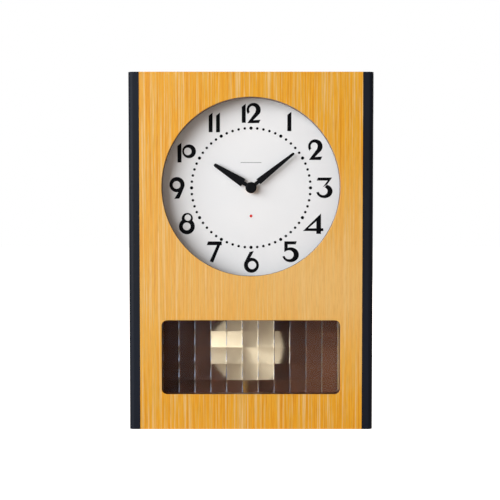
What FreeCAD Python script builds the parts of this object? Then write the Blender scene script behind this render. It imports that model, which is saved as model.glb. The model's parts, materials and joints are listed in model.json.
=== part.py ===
import FreeCAD, Part
import math
import os
import re

import Sketcher
from FreeCAD import Placement, Rotation, Vector

# A pendulum clock in a rectangular wooden case, which stands on a shelf or hangs on a wall.
# Frame: +Z up, the front faces -Y, the origin is the middle of the underside of the case.

doc = FreeCAD.newDocument("pendulum_clock")

# ---------------------------------------------------------------- driving dimensions, in mm

DIMENSIONS = (
    ("case_width", 243.0, "overall width of the case"),
    ("case_height", 355.0, "overall height of the case"),
    ("case_depth", 84.0, "overall depth of the case"),
    ("side_thick", 10.9, "thickness of a side panel"),
    ("front_thick", 11.0, "thickness of the front panel"),
    ("board_thick", 9.0, "thickness of the top and bottom panels"),
    ("edge_round", 5.0, "radius on the front outer edge of a side panel"),
    ("rim_round", 0.6, "radius on the front edges of the two openings"),
    ("dial_opening_radius", 88.6, "radius of the dial opening"),
    ("dial_opening_z", 241.8, "height of the centre of the dial opening"),
    ("window_width", 177.8, "width of the pendulum window"),
    ("window_low", 35.3, "height of the window's lower edge"),
    ("window_high", 109.1, "height of the window's upper edge"),
    ("window_corner", 5.5, "radius of the window's corners"),
    ("back_thick", 3.0, "thickness of the hardboard back and door"),
    ("back_inset", 6.0, "the back lies this far inside the rear edges of the sides"),
    ("back_side_gap", 0.3, "gap between the back and each side panel"),
    ("back_end_gap", 1.0, "the back stops this far inside the case's ends"),
    ("batten", 12.0, "thickness and width of the battens behind the back's edges"),
    ("rail_height", 40.0, "height of the hanging rail"),
    ("door_left", -98.0, "left edge of the door opening"),
    ("door_right", 104.0, "right edge of the door opening"),
    ("door_low", 40.0, "lower edge of the door opening"),
    ("door_high", 290.0, "upper edge of the door opening"),
    ("door_gap", 0.5, "gap round the door"),
    ("door_play", 0.1, "the door is this much thinner than the back"),
    ("finger_radius", 9.0, "radius of the finger hole in the door"),
    ("finger_inset", 22.0, "finger hole's centre from the door opening's right edge"),
    ("knuckle_radius", 1.6, "radius of a hinge knuckle"),
    ("knuckle_rise", 1.7, "hinge axis behind the back panel"),
    ("hinge_pin_radius", 0.8, "radius of a hinge pin"),
    ("hinge_half", 12.0, "half the height of a hinge"),
    ("leaf_thick", 0.8, "thickness of a hinge leaf"),
    ("leaf_width", 11.0, "width of a hinge leaf from the axis"),
    ("leaf_root", 2.0, "a leaf's flat plate starts this far from the axis"),
    ("leaf_screw_x", 7.5, "screws in a leaf, from the hinge axis"),
    ("leaf_screw_z", 7.0, "screws in a leaf, from the middle of the hinge"),
    ("knuckle_half", 4.0, "half the height of the middle knuckle"),
    ("knuckle_gap", 0.2, "gap between knuckles"),
    ("lower_hinge_z", 85.0, "height of the lower hinge"),
    ("upper_hinge_z", 245.0, "height of the upper hinge"),
    ("edge_screw_x", 107.3, "screws along the sides of the back, from the middle"),
    ("end_screw_x", 60.0, "screws along the ends of the back, from the middle"),
    ("big_shank", 1.4, "radius of a large screw's shank"),
    ("big_head", 2.8, "radius of a large screw's head"),
    ("big_head_thick", 1.5, "thickness of a large screw's head"),
    ("small_shank", 1.1, "radius of a small screw's shank"),
    ("small_head", 2.0, "radius of a small screw's head"),
    ("small_head_thick", 0.9, "thickness of a small screw's head"),
    ("long_reach", 12.0, "shank below the head of a screw into wood"),
    ("short_reach", 3.6, "shank below the head of a screw into the door"),
    ("dial_screw_reach", 15.0, "shank below the head of a dial screw"),
    ("dial_screw_grip", 6.0, "depth of the dial screws' holes in the front panel"),
    ("wood_grip", 10.0, "depth of a screw hole in the wood behind the back"),
    ("slot_deep", 0.4, "depth of the slot in a screw's head"),
    ("slot_half", 0.3, "half the width of that slot"),
    ("slot_long", 0.8, "half the slot's length, as a share of the head's radius"),
    ("button_z", 165.0, "height of the turn button's screw"),
    ("button_gap", 0.2, "gap behind the back under the turn button"),
    ("button_thick", 2.5, "thickness of the turn button"),
    ("button_half", 3.0, "half the width of the turn button"),
    ("button_length", 18.0, "turn button from its screw to its far end's centre"),
    ("hanger_z", 327.0, "height of the hanger's nail centre"),
    ("hanger_screw_x", 22.0, "hanger screws, from the middle"),
    ("hanger_half", 30.0, "half the width of the hanger plate"),
    ("hanger_up", 18.0, "hanger plate above the nail centre"),
    ("hanger_down", 13.0, "hanger plate below the nail centre"),
    ("hanger_thick", 1.5, "thickness of the hanger plate"),
    ("nail_travel", 10.0, "length of the keyhole's slot"),
    ("recess_half", 7.0, "half the width of the recess behind the hanger"),
    ("recess_deep", 9.0, "depth of that recess in the rail"),
    ("recess_up", 14.0, "that recess above the nail centre"),
    ("recess_down", 8.0, "that recess below the nail centre"),
    ("nail_entry", 4.5, "radius of the keyhole's round mouth"),
    ("nail_slot", 2.2, "half the width of the keyhole's slot"),
    ("glass_thick", 4.0, "thickness of the window glass"),
    ("glass_margin", 6.0, "glass beyond the window opening"),
    ("glass_room", 0.3, "gap between the glass and its battens' rebate"),
    ("glass_play", 0.1, "gap behind the glass in that rebate"),
    ("glass_batten_step", 2.0, "battens round the glass, from the window's edge"),
    ("glass_batten_width", 14.0, "width of those battens"),
    ("glass_batten_thick", 10.0, "thickness of those battens"),
    ("flute_pitch_x", 16.0, "distance between the upright flutes"),
    ("flute_pitch_z", 16.5, "distance between the level flutes"),
    ("flute_first_x", -8.7, "place of the upright flute nearest the middle"),
    ("flute_first_z", 12.4, "lowest level flute above the window's lower edge"),
    ("flute_depth", 0.8, "depth of a flute"),
    ("axis_z", 241.6, "height of the hands' axis"),
    ("spacer_thick", 9.0, "thickness of the ring between front panel and dial"),
    ("spacer_inner", 92.0, "inner radius of that ring"),
    ("dial_radius", 102.0, "radius of the dial plate"),
    ("dial_thick", 1.2, "thickness of the dial plate"),
    ("dial_screw_ring", 97.0, "radius on which the dial screws stand"),
    ("hole_over", 1.0, "a cutting tool runs this far past the surface it cuts"),
    ("wall", 1.2, "wall of the movement's case"),
    ("movement_half", 30.2, "half the width of the movement"),
    ("movement_up", 44.0, "movement above the hands' axis"),
    ("movement_down", 40.0, "movement below the hands' axis"),
    ("movement_split", 14.3, "depth of the movement's front case"),
    ("movement_depth", 22.0, "depth of the whole movement"),
    ("bay_left", 14.0, "left side of the battery bay"),
    ("bay_low", -26.5, "lower end of the battery bay, from the hands' axis"),
    ("bay_high", 30.5, "upper end of the battery bay, from the hands' axis"),
    ("battery_radius", 7.25, "radius of an AA cell"),
    ("battery_length", 50.5, "length of an AA cell"),
    ("battery_front", -14.3, "front of the cell in its bay"),
    ("battery_low", 4.6, "cell above the lower end of its bay"),
    ("nub_radius", 2.7, "radius of the cell's positive nub"),
    ("nub_high", 1.2, "height of that nub"),
    ("bay_floor_front", -15.8, "front of the wall in front of the battery"),
    ("bay_floor_back", -14.6, "back of that wall"),
    ("contact_inset", 2.0, "positive contact from the bay's sides"),
    ("contact_front", -13.0, "front of the positive contact"),
    ("contact_back", -1.0, "back of the positive contact"),
    ("contact_thick", 0.5, "thickness of the contacts"),
    ("bump_radius", 2.5, "radius of the positive contact's bump"),
    ("bump_reach", 1.7, "that bump's end below the bay's upper end"),
    ("spring_back", -3.0, "back of the negative spring"),
    ("spring_wide", 8.0, "width of the negative spring, front to back"),
    ("spring_rise", 4.5, "height of the negative spring"),
    ("fit", 0.05, "radial clearance of pins and shafts"),
    ("bush_radius", 3.9, "radius of the threaded bush"),
    ("bush_front", -25.0, "front end of the threaded bush"),
    ("bush_bore_back", -18.0, "back end of the bush's bore"),
    ("flange_radius", 5.5, "radius of the bush's flange"),
    ("flange_thick", 0.6, "thickness of the bush's flange"),
    ("bush_slack", 0.07, "radial clearance of the hour tube in the bush"),
    ("washer_radius", 5.3, "radius of the bush's washer"),
    ("washer_thick", 0.4, "thickness of the bush's washer"),
    ("nut_front", -24.6, "front of the bush's nut"),
    ("nut_disc_radius", 5.2, "radius of the bush's nut"),
    ("notch_half", 0.8, "half the width of a notch in that nut"),
    ("notch_floor", 4.6, "a notch's floor from the hands' axis"),
    ("hour_tube_radius", 2.6, "outer radius of the hour wheel's tube"),
    ("arbor_radius", 1.7, "radius of the minute arbor"),
    ("pivot_radius", 0.6, "radius of the small arbors"),
    ("pivot_deep", 0.8, "depth of the small arbors' front holes"),
    ("arbor_reach", 0.7, "how far the small arbors stand in those holes"),
    ("arbor_short", 0.1, "how far the arbors stay inside the bridge's back"),
    ("knob_shaft_radius", 1.5, "radius of the setting knob's shaft"),
    ("knob_radius", 6.0, "radius of the setting knob"),
    ("knob_thick", 4.0, "thickness of the setting knob"),
    ("knob_gap", 1.0, "setting knob behind the movement"),
    ("knob_rib", 0.5, "radius of a rib on the setting knob"),
    ("centre_hub_radius", 3.0, "radius of the centre wheel's hub"),
    ("tooth_inside", 1.5, "a tooth starts this many modules inside the pitch circle"),
    ("tooth_root", 1.15, "depth of the tooth gaps in modules"),
    ("tooth_rise", 0.7, "height of a tooth over the pitch circle in modules"),
    ("tooth_base_half", 0.9, "half the width of a tooth at its start in modules"),
    ("tooth_tip_half", 0.35, "half the width of a tooth at its tip in modules"),
    ("minute_module", 0.5, "module of the minute wheel and its partners"),
    ("hour_module", 0.56, "module of the hour wheel and its pinion"),
    ("centre_module", 0.35, "module of the centre wheel"),
    ("third_module", 0.3, "module of the third wheel"),
    ("seconds_module", 0.25, "module of the seconds wheel"),
    ("rotor_module", 0.2, "module of the intermediate wheel"),
    ("hour_layer", -18.8, "front of the hour wheel's layer"),
    ("minute_layer", -17.3, "front of the minute wheel's layer"),
    ("centre_layer", -15.6, "front of the centre wheel's layer"),
    ("third_layer", -13.9, "front of the third wheel's layer"),
    ("seconds_layer", -12.3, "front of the seconds wheel's layer"),
    ("rotor_layer", -10.7, "front of the intermediate wheel's layer"),
    ("bridge_front", -9.2, "front of the train bridge"),
    ("bridge_thick", 1.2, "thickness of the train bridge"),
    ("bridge_left", -28.4, "left edge of the train bridge"),
    ("bridge_right", 12.2, "right edge of the train bridge"),
    ("bridge_low", -17.2, "lower edge of the train bridge, from the hands' axis"),
    ("bridge_high", 35.0, "upper edge of the train bridge, from the hands' axis"),
    ("bridge_post_radius", 1.6, "radius of the posts that carry the train bridge"),
    ("stator_front", -14.6, "front of the stator"),
    ("lamina", 1.0, "thickness of the stator, the core and the circuit board"),
    ("stator_left", -16.0, "left edge of the stator"),
    ("stator_right", 12.0, "right edge of the stator"),
    ("stator_low", 26.1, "lower edge of the stator, from the hands' axis"),
    ("stator_cross", 34.9, "upper edge of the stator's cross piece"),
    ("stator_high", 40.5, "upper edge of the stator, from the hands' axis"),
    ("stator_leg", 4.0, "width of the stator's legs"),
    ("stator_bore", 3.4, "radius of the hole round the rotor"),
    ("stator_post_radius", 1.4, "radius of the posts that carry the stator"),
    ("stator_post_z", 39.0, "height of those posts, from the hands' axis"),
    ("core_low", 37.0, "lower edge of the coil's core, from the hands' axis"),
    ("coil_left", -10.0, "left end of the motor coil's wire"),
    ("coil_right", 6.0, "right end of the motor coil's wire"),
    ("coil_radius", 3.0, "radius of the motor coil's wire"),
    ("coil_flange_radius", 3.4, "radius of the motor coil's flanges"),
    ("coil_flange_thick", 1.0, "thickness of the motor coil's flanges"),
    ("magnet_radius", 3.0, "radius of the rotor's magnet"),
    ("magnet_front", -15.5, "front of the rotor's magnet"),
    ("magnet_back", -12.7, "back of the rotor's magnet"),
    ("board_left", -27.0, "left edge of the circuit board"),
    ("board_right", 11.0, "right edge of the circuit board"),
    ("board_low", -37.5, "lower edge of the circuit board, from the hands' axis"),
    ("board_high", -20.0, "upper edge of the circuit board, from the hands' axis"),
    ("board_front", -13.6, "front of the circuit board"),
    ("board_post_radius", 1.5, "radius of the posts that carry the circuit board"),
    ("board_post_z", -34.0, "height of those posts, from the hands' axis"),
    ("peg_hole_x", -24.0, "place of the spare hole in the circuit board"),
    ("peg_hole_z", -23.0, "its height, from the hands' axis"),
    ("peg_hole_radius", 1.0, "its radius"),
    ("crystal_left", -22.0, "left end of the quartz crystal's can"),
    ("crystal_right", -16.0, "right end of the quartz crystal's can"),
    ("crystal_radius", 1.0, "radius of the quartz crystal's can"),
    ("crystal_z", -30.0, "height of the crystal, from the hands' axis"),
    ("lead_long", 1.5, "length of the crystal's leads"),
    ("lead_half", 0.4, "half the height of the crystal's leads"),
    ("drive_z", -29.0, "height of the drive coil and magnet, from the hands' axis"),
    ("drive_back", -7.8, "back of the drive coil"),
    ("drive_radius", 7.5, "radius of the drive coil"),
    ("drive_eye", 2.5, "radius of the hole in the drive coil"),
    ("seconds_angle", 150.0, "direction from the third wheel to the seconds wheel"),
    ("rotor_angle", 60.0, "direction from the intermediate wheel to the rotor"),
    ("pivot_rise", 8.0, "pendulum pivot above the hands' axis"),
    ("swing", 1.5, "the pendulum stands this many degrees left of upright"),
    ("lever_front", -5.4, "front of the pendulum lever"),
    ("lever_thick", 1.2, "thickness of the pendulum lever"),
    ("lever_half", 2.5, "half the width of the pendulum lever"),
    ("lever_long", 50.0, "lever's lower end below the hands' axis"),
    ("lever_eye", 3.6, "radius of the lever's upper eye"),
    ("lever_boss", 2.5, "radius of the boss round the pivot pin"),
    ("boss_ahead", 0.8, "boss in front of the lever"),
    ("boss_behind", 2.5, "boss behind the lever"),
    ("drive_magnet_radius", 4.0, "radius of the magnet on the lever"),
    ("drive_magnet_thick", 1.8, "thickness of the magnet on the lever"),
    ("stud_drop", 46.0, "stud that carries the rod, below the hands' axis"),
    ("stud_radius", 1.0, "radius of that stud and of the pivot pin"),
    ("stud_head", 1.8, "radius of the stud's head"),
    ("stud_head_thick", 0.7, "thickness of the stud's head"),
    ("stud_play", 0.2, "gap between the rod and the stud's head"),
    ("pin_collar", 2.0, "radius of the pivot pin's collar"),
    ("pin_collar_thick", 0.6, "thickness of the pivot pin's collar"),
    ("lever_slot_half", 10.0, "half the width of the slot that the lever swings in"),
    ("rod_width", 4.0, "width of the pendulum rod"),
    ("rod_thick", 0.8, "thickness of the pendulum rod"),
    ("rod_front", -3.9, "front of the pendulum rod"),
    ("rod_low", 46.0, "lower end of the flat rod"),
    ("rod_top_drop", 43.5, "upper end of the rod below the hands' axis"),
    ("thread_low", 26.0, "lower end of the thread"),
    ("thread_high", 50.0, "upper end of the thread"),
    ("thread_radius", 1.25, "radius of the thread under the bob"),
    ("bob_radius", 37.5, "radius of the bob"),
    ("bob_z", 78.0, "height of the bob's centre, hanging upright"),
    ("bob_back", -5.0, "back of the bob"),
    ("bob_rim", 2.0, "thickness of the bob at its rim"),
    ("bob_crown", 2.6, "rise of the bob's front over its rim"),
    ("bob_edge", 0.6, "width of the chamfer round the bob's front"),
    ("guide_half", 5.0, "half the width of the guides behind the bob"),
    ("guide_wall", 1.8, "guides behind the rod"),
    ("guide_play", 0.1, "gap between the rod and its guides"),
    ("upper_guide_low", 22.0, "lower end of the upper guide, from the bob's centre"),
    ("upper_guide_high", 30.0, "its upper end"),
    ("lower_guide_low", -37.0, "lower end of the lower guide, from the bob's centre"),
    ("lower_guide_high", -30.0, "its upper end"),
    ("nut_radius", 4.0, "radius of the rating nut"),
    ("nut_low", 32.4, "lower end of the rating nut"),
    ("nut_high", 40.4, "upper end of the rating nut"),
    ("nut_rib", 0.35, "radius of a rib on the rating nut"),
    ("nut_bevel", 1.2, "the ribs stop this far below the rating nut's top"),
    ("hour_hand_front", -26.2, "front of the hour hand"),
    ("minute_hand_front", -28.2, "front of the minute hand"),
    ("hand_thick", 0.6, "thickness of a hand"),
    ("hour_length", 43.9, "hour hand from the axis to its tip"),
    ("minute_length", 55.4, "minute hand from the axis to its tip"),
    ("hour_angle", 302.2, "hour hand, clockwise from 12"),
    ("minute_angle", 51.4, "minute hand, clockwise from 12"),
    ("hand_hub", 5.0, "radius of a hand's hub"),
    ("collar_thick", 0.5, "thickness of the collar behind a hand's hub"),
    ("hour_collar", 3.8, "radius of the hour hand's collar"),
    ("hour_neck", 1.9, "half the width of the hour hand's neck"),
    ("hour_shoulder", 9.3, "hour hand's shoulder from the axis"),
    ("hour_half_width", 4.45, "half the width of the hour hand at its shoulder"),
    ("hour_half_tip", 1.8, "half the width of the hour hand's tip"),
    ("minute_collar", 2.6, "radius of the minute hand's collar"),
    ("minute_neck", 1.8, "half the width of the minute hand's neck"),
    ("minute_shoulder", 9.45, "minute hand's shoulder from the axis"),
    ("minute_half_width", 3.2, "half the width of the minute hand at its shoulder"),
    ("minute_half_tip", 1.3, "half the width of the minute hand's tip"),
    ("cap_radius", 5.65, "radius of the hand cap"),
    ("cap_thick", 3.0, "thickness of the hand cap"),
    ("cap_round", 1.6, "radius on the hand cap's front edge"),
    ("cap_socket", 1.2, "depth of the hole in the hand cap"),
)

sheet = doc.addObject("Spreadsheet::Sheet", "Dims")
for row, (alias, number, meaning) in enumerate(DIMENSIONS, start=1):
    sheet.set(f"A{row}", meaning)
    sheet.set(f"B{row}", str(number))
    sheet.setAlias(f"B{row}", alias)
doc.recompute()

ALIASES = {alias for alias, number, meaning in DIMENSIONS}

# ---------------------------------------------------------------- expressions used again and again

PANEL_BACK = "(front_thick-case_depth/2)"
INSIDE = "(case_width/2-side_thick)"
BACK_REAR = "(case_depth/2-back_inset)"
BACK_FRONT = "(case_depth/2-back_inset-back_thick)"
BATTEN_FRONT = "(case_depth/2-back_inset-back_thick-batten)"
GLASS_BACK = f"({PANEL_BACK}+glass_thick)"
DIAL_FRONT = f"({PANEL_BACK}+spacer_thick)"
DIAL_BACK = f"({DIAL_FRONT}+dial_thick)"
MOVEMENT_INNER = f"({DIAL_BACK}+wall)"
MOVEMENT_SPLIT = f"({DIAL_BACK}+movement_split)"
MOVEMENT_BACK = f"({DIAL_BACK}+movement_depth)"
BRIDGE_BACK = "(bridge_front+bridge_thick)"
ARBOR_ENDS = (f"{MOVEMENT_INNER}-arbor_reach", f"{BRIDGE_BACK}-arbor_short")
PIVOT_Z = "(axis_z+pivot_rise)"
ROD_BACK = "(rod_front+rod_thick)"
ROD_MIDDLE = "rod_front+rod_thick/2"
PIN_HOLE_BACK = f"{MOVEMENT_BACK}-wall/3"
STATOR_BACK = "(stator_front+lamina)"
LEVER_BACK = "(lever_front+lever_thick)"
HINGE_X = "(door_left+door_gap/2)"
HINGE_Y = f"({BACK_REAR}+knuckle_rise)"

# Gear centres, as (x, z) from the hands' axis.  The train climbs from the centre wheel to the rotor.
MINUTE_WHEEL = ("-28*minute_module", "0")
KNOB = ("-28*minute_module", "-28*minute_module")
THIRD_WHEEL = ("0", "36*centre_module")
SECONDS_WHEEL = (
    "34*third_module*cos(seconds_angle)",
    "(36*centre_module+34*third_module*sin(seconds_angle))",
)
INTERMEDIATE_WHEEL = (
    f"({SECONDS_WHEEL[0]}+35*seconds_module*cos(120))",
    f"({SECONDS_WHEEL[1]}+35*seconds_module*sin(120))",
)
ROTOR = (
    f"({INTERMEDIATE_WHEEL[0]}+30*rotor_module*cos(rotor_angle))",
    f"({INTERMEDIATE_WHEEL[1]}+30*rotor_module*sin(rotor_angle))",
)

# Posts inside the movement, as (x, z) from the hands' axis.
BRIDGE_POSTS = (("-26.4", "-12.5"), ("-26.4", "14.5"), ("10", "-14.5"), ("10.2", "22"))
BOARD_POSTS = (("-24", "board_post_z"), ("8", "board_post_z"))
STATOR_POSTS = (("-14", "stator_post_z"), ("10", "stator_post_z"))

NOTCHES = (("-washer_radius", "-notch_floor"), ("notch_floor", "washer_radius"))

# Screws, as (x, z).
EDGE_SCREW_HEIGHTS = ("24", "130", "205", "325")
LEFT_SCREWS = [("-edge_screw_x", z) for z in EDGE_SCREW_HEIGHTS]
RIGHT_SCREWS = [("edge_screw_x", z) for z in EDGE_SCREW_HEIGHTS]
TOP_SCREWS = [(f"{side}*end_screw_x", "case_height-board_thick/2") for side in (-1, 1)]
BOTTOM_SCREWS = [(f"{side}*end_screw_x", "board_thick+batten/2") for side in (-1, 1)]
PANEL_SCREWS = LEFT_SCREWS + RIGHT_SCREWS + TOP_SCREWS + BOTTOM_SCREWS
HANGER_SCREWS = [(f"{side}*hanger_screw_x", "hanger_z") for side in (-1, 1)]
DIAL_SCREWS = [
    (f"dial_screw_ring*cos({turn})", f"axis_z+dial_screw_ring*sin({turn})")
    for turn in range(30, 390, 60)
]
HINGE_HEIGHTS = ("lower_hinge_z", "upper_hinge_z")
LEAF_SCREW_HEIGHTS = [f"{z}+{side}*leaf_screw_z" for z in HINGE_HEIGHTS for side in (-1, 1)]
PANEL_LEAF_SCREWS = [(f"{HINGE_X}-leaf_screw_x", z) for z in LEAF_SCREW_HEIGHTS]
DOOR_LEAF_SCREWS = [(f"{HINGE_X}+leaf_screw_x", z) for z in LEAF_SCREW_HEIGHTS]
BUTTON_SCREW = ("edge_screw_x", "button_z")

# ---------------------------------------------------------------- helpers

NEAR = 0.01
ORIGIN = -1
START, END, CENTRE = 1, 2, 3
TURN = {
    "x": Rotation(Vector(0, 1, 0), 90),
    "y": Rotation(Vector(1, 0, 0), -90),
    "z": Rotation(),
}
nodes = []


def bound(text):
    """The expression with each dimension's name turned into a reference to its cell."""
    def reference(word):
        return f"Dims.{word[0]}" if word[0] in ALIASES else word[0]

    return re.sub(r"[a-z_]+", reference, str(text))


def drive(item, path, text):
    item.setExpression(path, bound(text))


def node(item, label):
    """Names a finished sub-part and keeps it for export."""
    item.Label = label
    nodes.append(item)
    return item


def block(name, x, y, z):
    """A box between pairs of expressions."""
    item = doc.addObject("Part::Box", name)
    for axis, extent, (low, high) in (("x", "Length", x), ("y", "Width", y), ("z", "Height", z)):
        drive(item, extent, f"({high})-({low})")
        drive(item, f"Placement.Base.{axis}", low)
    return item


def rod(name, x, y, z, radius):
    """A cylinder along the one of x, y and z that is a (low, high) pair."""
    places = {"x": x, "y": y, "z": z}
    along = next(axis for axis in places if isinstance(places[axis], tuple))
    low, high = places[along]
    places[along] = low
    item = doc.addObject("Part::Cylinder", name)
    item.Placement = Placement(Vector(), TURN[along])
    drive(item, "Radius", radius)
    drive(item, "Height", f"({high})-({low})")
    for axis in places:
        drive(item, f"Placement.Base.{axis}", places[axis])
    return item


def joined(name, items):
    item = doc.addObject("Part::MultiFuse", name)
    item.Shapes = items
    return item


def cut(name, base, tools):
    item = doc.addObject("Part::Cut", name)
    item.Base = base
    item.Tool = tools[0] if len(tools) == 1 else joined(f"{name}_tools", tools)
    return item


def group(name, items):
    """Identical separate solids that share one node."""
    item = doc.addObject("Part::Compound", name)
    item.Links = items
    return item


def plane(body, role):
    return next(feature for feature in body.Origin.OriginFeatures if feature.Role == role)


def new_body(name):
    return doc.addObject("PartDesign::Body", name)


def front_sketch(body, name, y):
    """A sketch parallel to the front at y: its axes are the clock's X and Z."""
    sketch = body.newObject("Sketcher::SketchObject", name)
    sketch.AttachmentSupport = [(plane(body, "XZ_Plane"), "")]
    sketch.MapMode = "FlatFace"
    drive(sketch, "AttachmentOffset.Base.z", f"-({y})")
    return sketch


def dimension(sketch, kind, line, point, text):
    index = sketch.addConstraint(Sketcher.Constraint(kind, ORIGIN, START, line, point, 1.0))
    drive(sketch, f"Constraints[{index}]", text)


def polygon(sketch, corners):
    """A closed outline of straight lines through dimensioned corners."""
    count = len(corners)
    first = len(sketch.Geometry)
    turns = [math.tau * i / count for i in range(count)]
    start = [Vector(math.cos(turn), math.sin(turn), 0) for turn in turns]
    sketch.addGeometry([Part.LineSegment(start[i - 1], start[i]) for i in range(count)], False)
    for i in range(count):
        following = first + (i + 1) % count
        sketch.addConstraint(Sketcher.Constraint("Coincident", first + i, END, following, START))
    for i, (across, up) in enumerate(corners):
        dimension(sketch, "DistanceX", first + i, START, across)
        dimension(sketch, "DistanceY", first + i, START, up)


def circle(sketch, across, up, radius):
    line = sketch.addGeometry(Part.Circle(Vector(0.5, 0.5, 0), Vector(0, 0, 1), 1.0), False)
    index = sketch.addConstraint(Sketcher.Constraint("Radius", line, 1.0))
    drive(sketch, f"Constraints[{index}]", radius)
    dimension(sketch, "DistanceX", line, CENTRE, across)
    dimension(sketch, "DistanceY", line, CENTRE, up)


def pad(body, sketch, thick):
    """Grows the sketch towards the front."""
    feature = body.newObject("PartDesign::Pad", f"{sketch.Name}_pad")
    feature.Profile = sketch
    drive(feature, "Length", thick)
    body.Tip = feature
    return feature


def pocket(body, sketch):
    """Cuts the sketch right through, both ways."""
    feature = body.newObject("PartDesign::Pocket", f"{sketch.Name}_pocket")
    feature.Profile = sketch
    feature.Type = "ThroughAll"
    feature.Midplane = True
    body.Tip = feature
    return feature


def bore(body, name, radius):
    """Cuts a round hole right through, along the body's own axis."""
    outline = front_sketch(body, name, "0")
    circle(outline, "0", "0", radius)
    pocket(body, outline)


def polar(body, feature, sketch, count):
    pattern = body.newObject("PartDesign::PolarPattern", f"{feature.Name}_ring")
    pattern.Originals = [feature]
    pattern.Axis = (sketch, ["N_Axis"])
    pattern.Angle = 360
    pattern.Occurrences = count
    body.Tip = pattern
    return pattern


def fillet(body, radius, wanted):
    """Rounds the edges of the body's latest feature for which wanted(edge) is true."""
    doc.recompute()
    base = body.Tip
    names = [f"Edge{i}" for i, edge in enumerate(base.Shape.Edges, start=1) if wanted(edge)]
    feature = body.newObject("PartDesign::Fillet", f"{body.Name}_fillet")
    feature.Base = (base, names)
    drive(feature, "Radius", radius)
    body.Tip = feature
    return feature


def edge_runs(edge, axis):
    """True for a straight edge along the axis."""
    return isinstance(edge.Curve, Part.Line) and abs(edge.Curve.Direction.dot(axis)) > 1 - NEAR


def size(alias):
    """The present value of a dimension, for picking edges."""
    return float(sheet.get(alias))


# ---------------------------------------------------------------- case: boards


def front_panel():
    body = new_body("front_panel_body")
    outline = front_sketch(body, "front_outline", PANEL_BACK)
    polygon(outline, (
        (f"-{INSIDE}", "0"),
        (INSIDE, "0"),
        (INSIDE, "case_height"),
        (f"-{INSIDE}", "case_height"),
    ))
    pad(body, outline, "front_thick")
    window = front_sketch(body, "window_outline", PANEL_BACK)
    polygon(window, (
        ("-window_width/2", "window_low"),
        ("window_width/2", "window_low"),
        ("window_width/2", "window_high"),
        ("-window_width/2", "window_high"),
    ))
    pocket(body, window)
    inner = size("window_width") / 2 + NEAR
    fillet(body, "window_corner",
           lambda edge: edge_runs(edge, Vector(0, 1, 0)) and abs(edge.CenterOfMass.x) < inner)
    dial = front_sketch(body, "dial_outline", PANEL_BACK)
    circle(dial, "0", "dial_opening_z", "dial_opening_radius")
    pocket(body, dial)
    front = -size("case_depth") / 2
    half = size("case_width") / 2 - size("side_thick")
    top = size("case_height")

    def rims(edge):
        box = edge.BoundBox
        flat = abs(box.YMin - front) < NEAR and box.YLength < NEAR
        at_side = max(abs(box.XMin), abs(box.XMax)) > half - NEAR
        at_end = box.ZMin < NEAR or box.ZMax > top - NEAR
        return flat and not at_side and not at_end

    fillet(body, "rim_round", rims)
    drilled = cut("front_panel_drilled", body, dial_screw_rods("front_pilot", "dial_screw_grip"))
    return node(drilled, "front_panel")


def side_panel(label, side):
    """side is -1 for the left panel and 1 for the right one."""
    body = new_body(f"{label}_body")
    outline = front_sketch(body, f"{label}_outline", "case_depth/2")
    inner, outer = f"{side}*{INSIDE}", f"{side}*case_width/2"
    polygon(outline, ((inner, "0"), (outer, "0"), (outer, "case_height"), (inner, "case_height")))
    pad(body, outline, "case_depth")
    edge_x = side * size("case_width") / 2
    edge_y = -size("case_depth") / 2

    def front_outer(edge):
        middle = edge.CenterOfMass
        at_corner = abs(middle.x - edge_x) < NEAR and abs(middle.y - edge_y) < NEAR
        return at_corner and edge_runs(edge, Vector(0, 0, 1))

    fillet(body, "edge_round", front_outer)
    return node(body, label)


def boards():
    across = (f"-{INSIDE}", INSIDE)
    depth = (PANEL_BACK, BACK_FRONT)
    top = block("top_board", across, depth, ("case_height-board_thick", "case_height"))
    node(cut("top_drilled", top, holes("top_pilot", TOP_SCREWS)), "top_panel")
    node(block("bottom_board", across, depth, ("0", "board_thick")), "bottom_panel")


# ---------------------------------------------------------------- case: back, battens and their screws

def screw_hole(name, x, z, shank="big_shank"):
    """The hole that a screw driven from behind fills."""
    depth = (f"{BACK_FRONT}-wood_grip-fit", f"{BACK_REAR}+hanger_thick+hole_over")
    return rod(name, x, depth, z, f"{shank}+fit")


def screw(name, x, z, face, reach, shank, head, head_thick):
    """A round-headed screw whose head sits behind the face y and whose shank reaches forward."""
    stem = rod(f"{name}_shank", x, (f"{face}-({reach})", face), z, shank)
    top = rod(f"{name}_head", x, (face, f"{face}+{head_thick}"), z, head)
    slot = block(
        f"{name}_slot",
        (f"{x}-{head}*slot_long", f"{x}+{head}*slot_long"),
        (f"{face}+{head_thick}-slot_deep", f"{face}+{head_thick}+hole_over"),
        (f"{z}-slot_half", f"{z}+slot_half"),
    )
    return cut(name, joined(f"{name}_blank", [stem, top]), [slot])


BIG = ("big_shank", "big_head", "big_head_thick")
SMALL = ("small_shank", "small_head", "small_head_thick")


def screws(label, places, face, reach, kind):
    items = [screw(f"{label}_{i}", x, z, face, reach, *kind) for i, (x, z) in enumerate(places, start=1)]
    return node(group(f"{label}_group", items), label)


def holes(name, places, shank="big_shank"):
    return [screw_hole(f"{name}_{i}", x, z, shank) for i, (x, z) in enumerate(places, start=1)]


def nail_recess(name):
    """Room in the wood for the head of the nail or screw that the clock hangs on."""
    return block(
        name,
        ("-recess_half", "recess_half"),
        (f"{BACK_FRONT}-recess_deep", BACK_REAR),
        ("hanger_z-recess_down", "hanger_z+recess_up"),
    )


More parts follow.
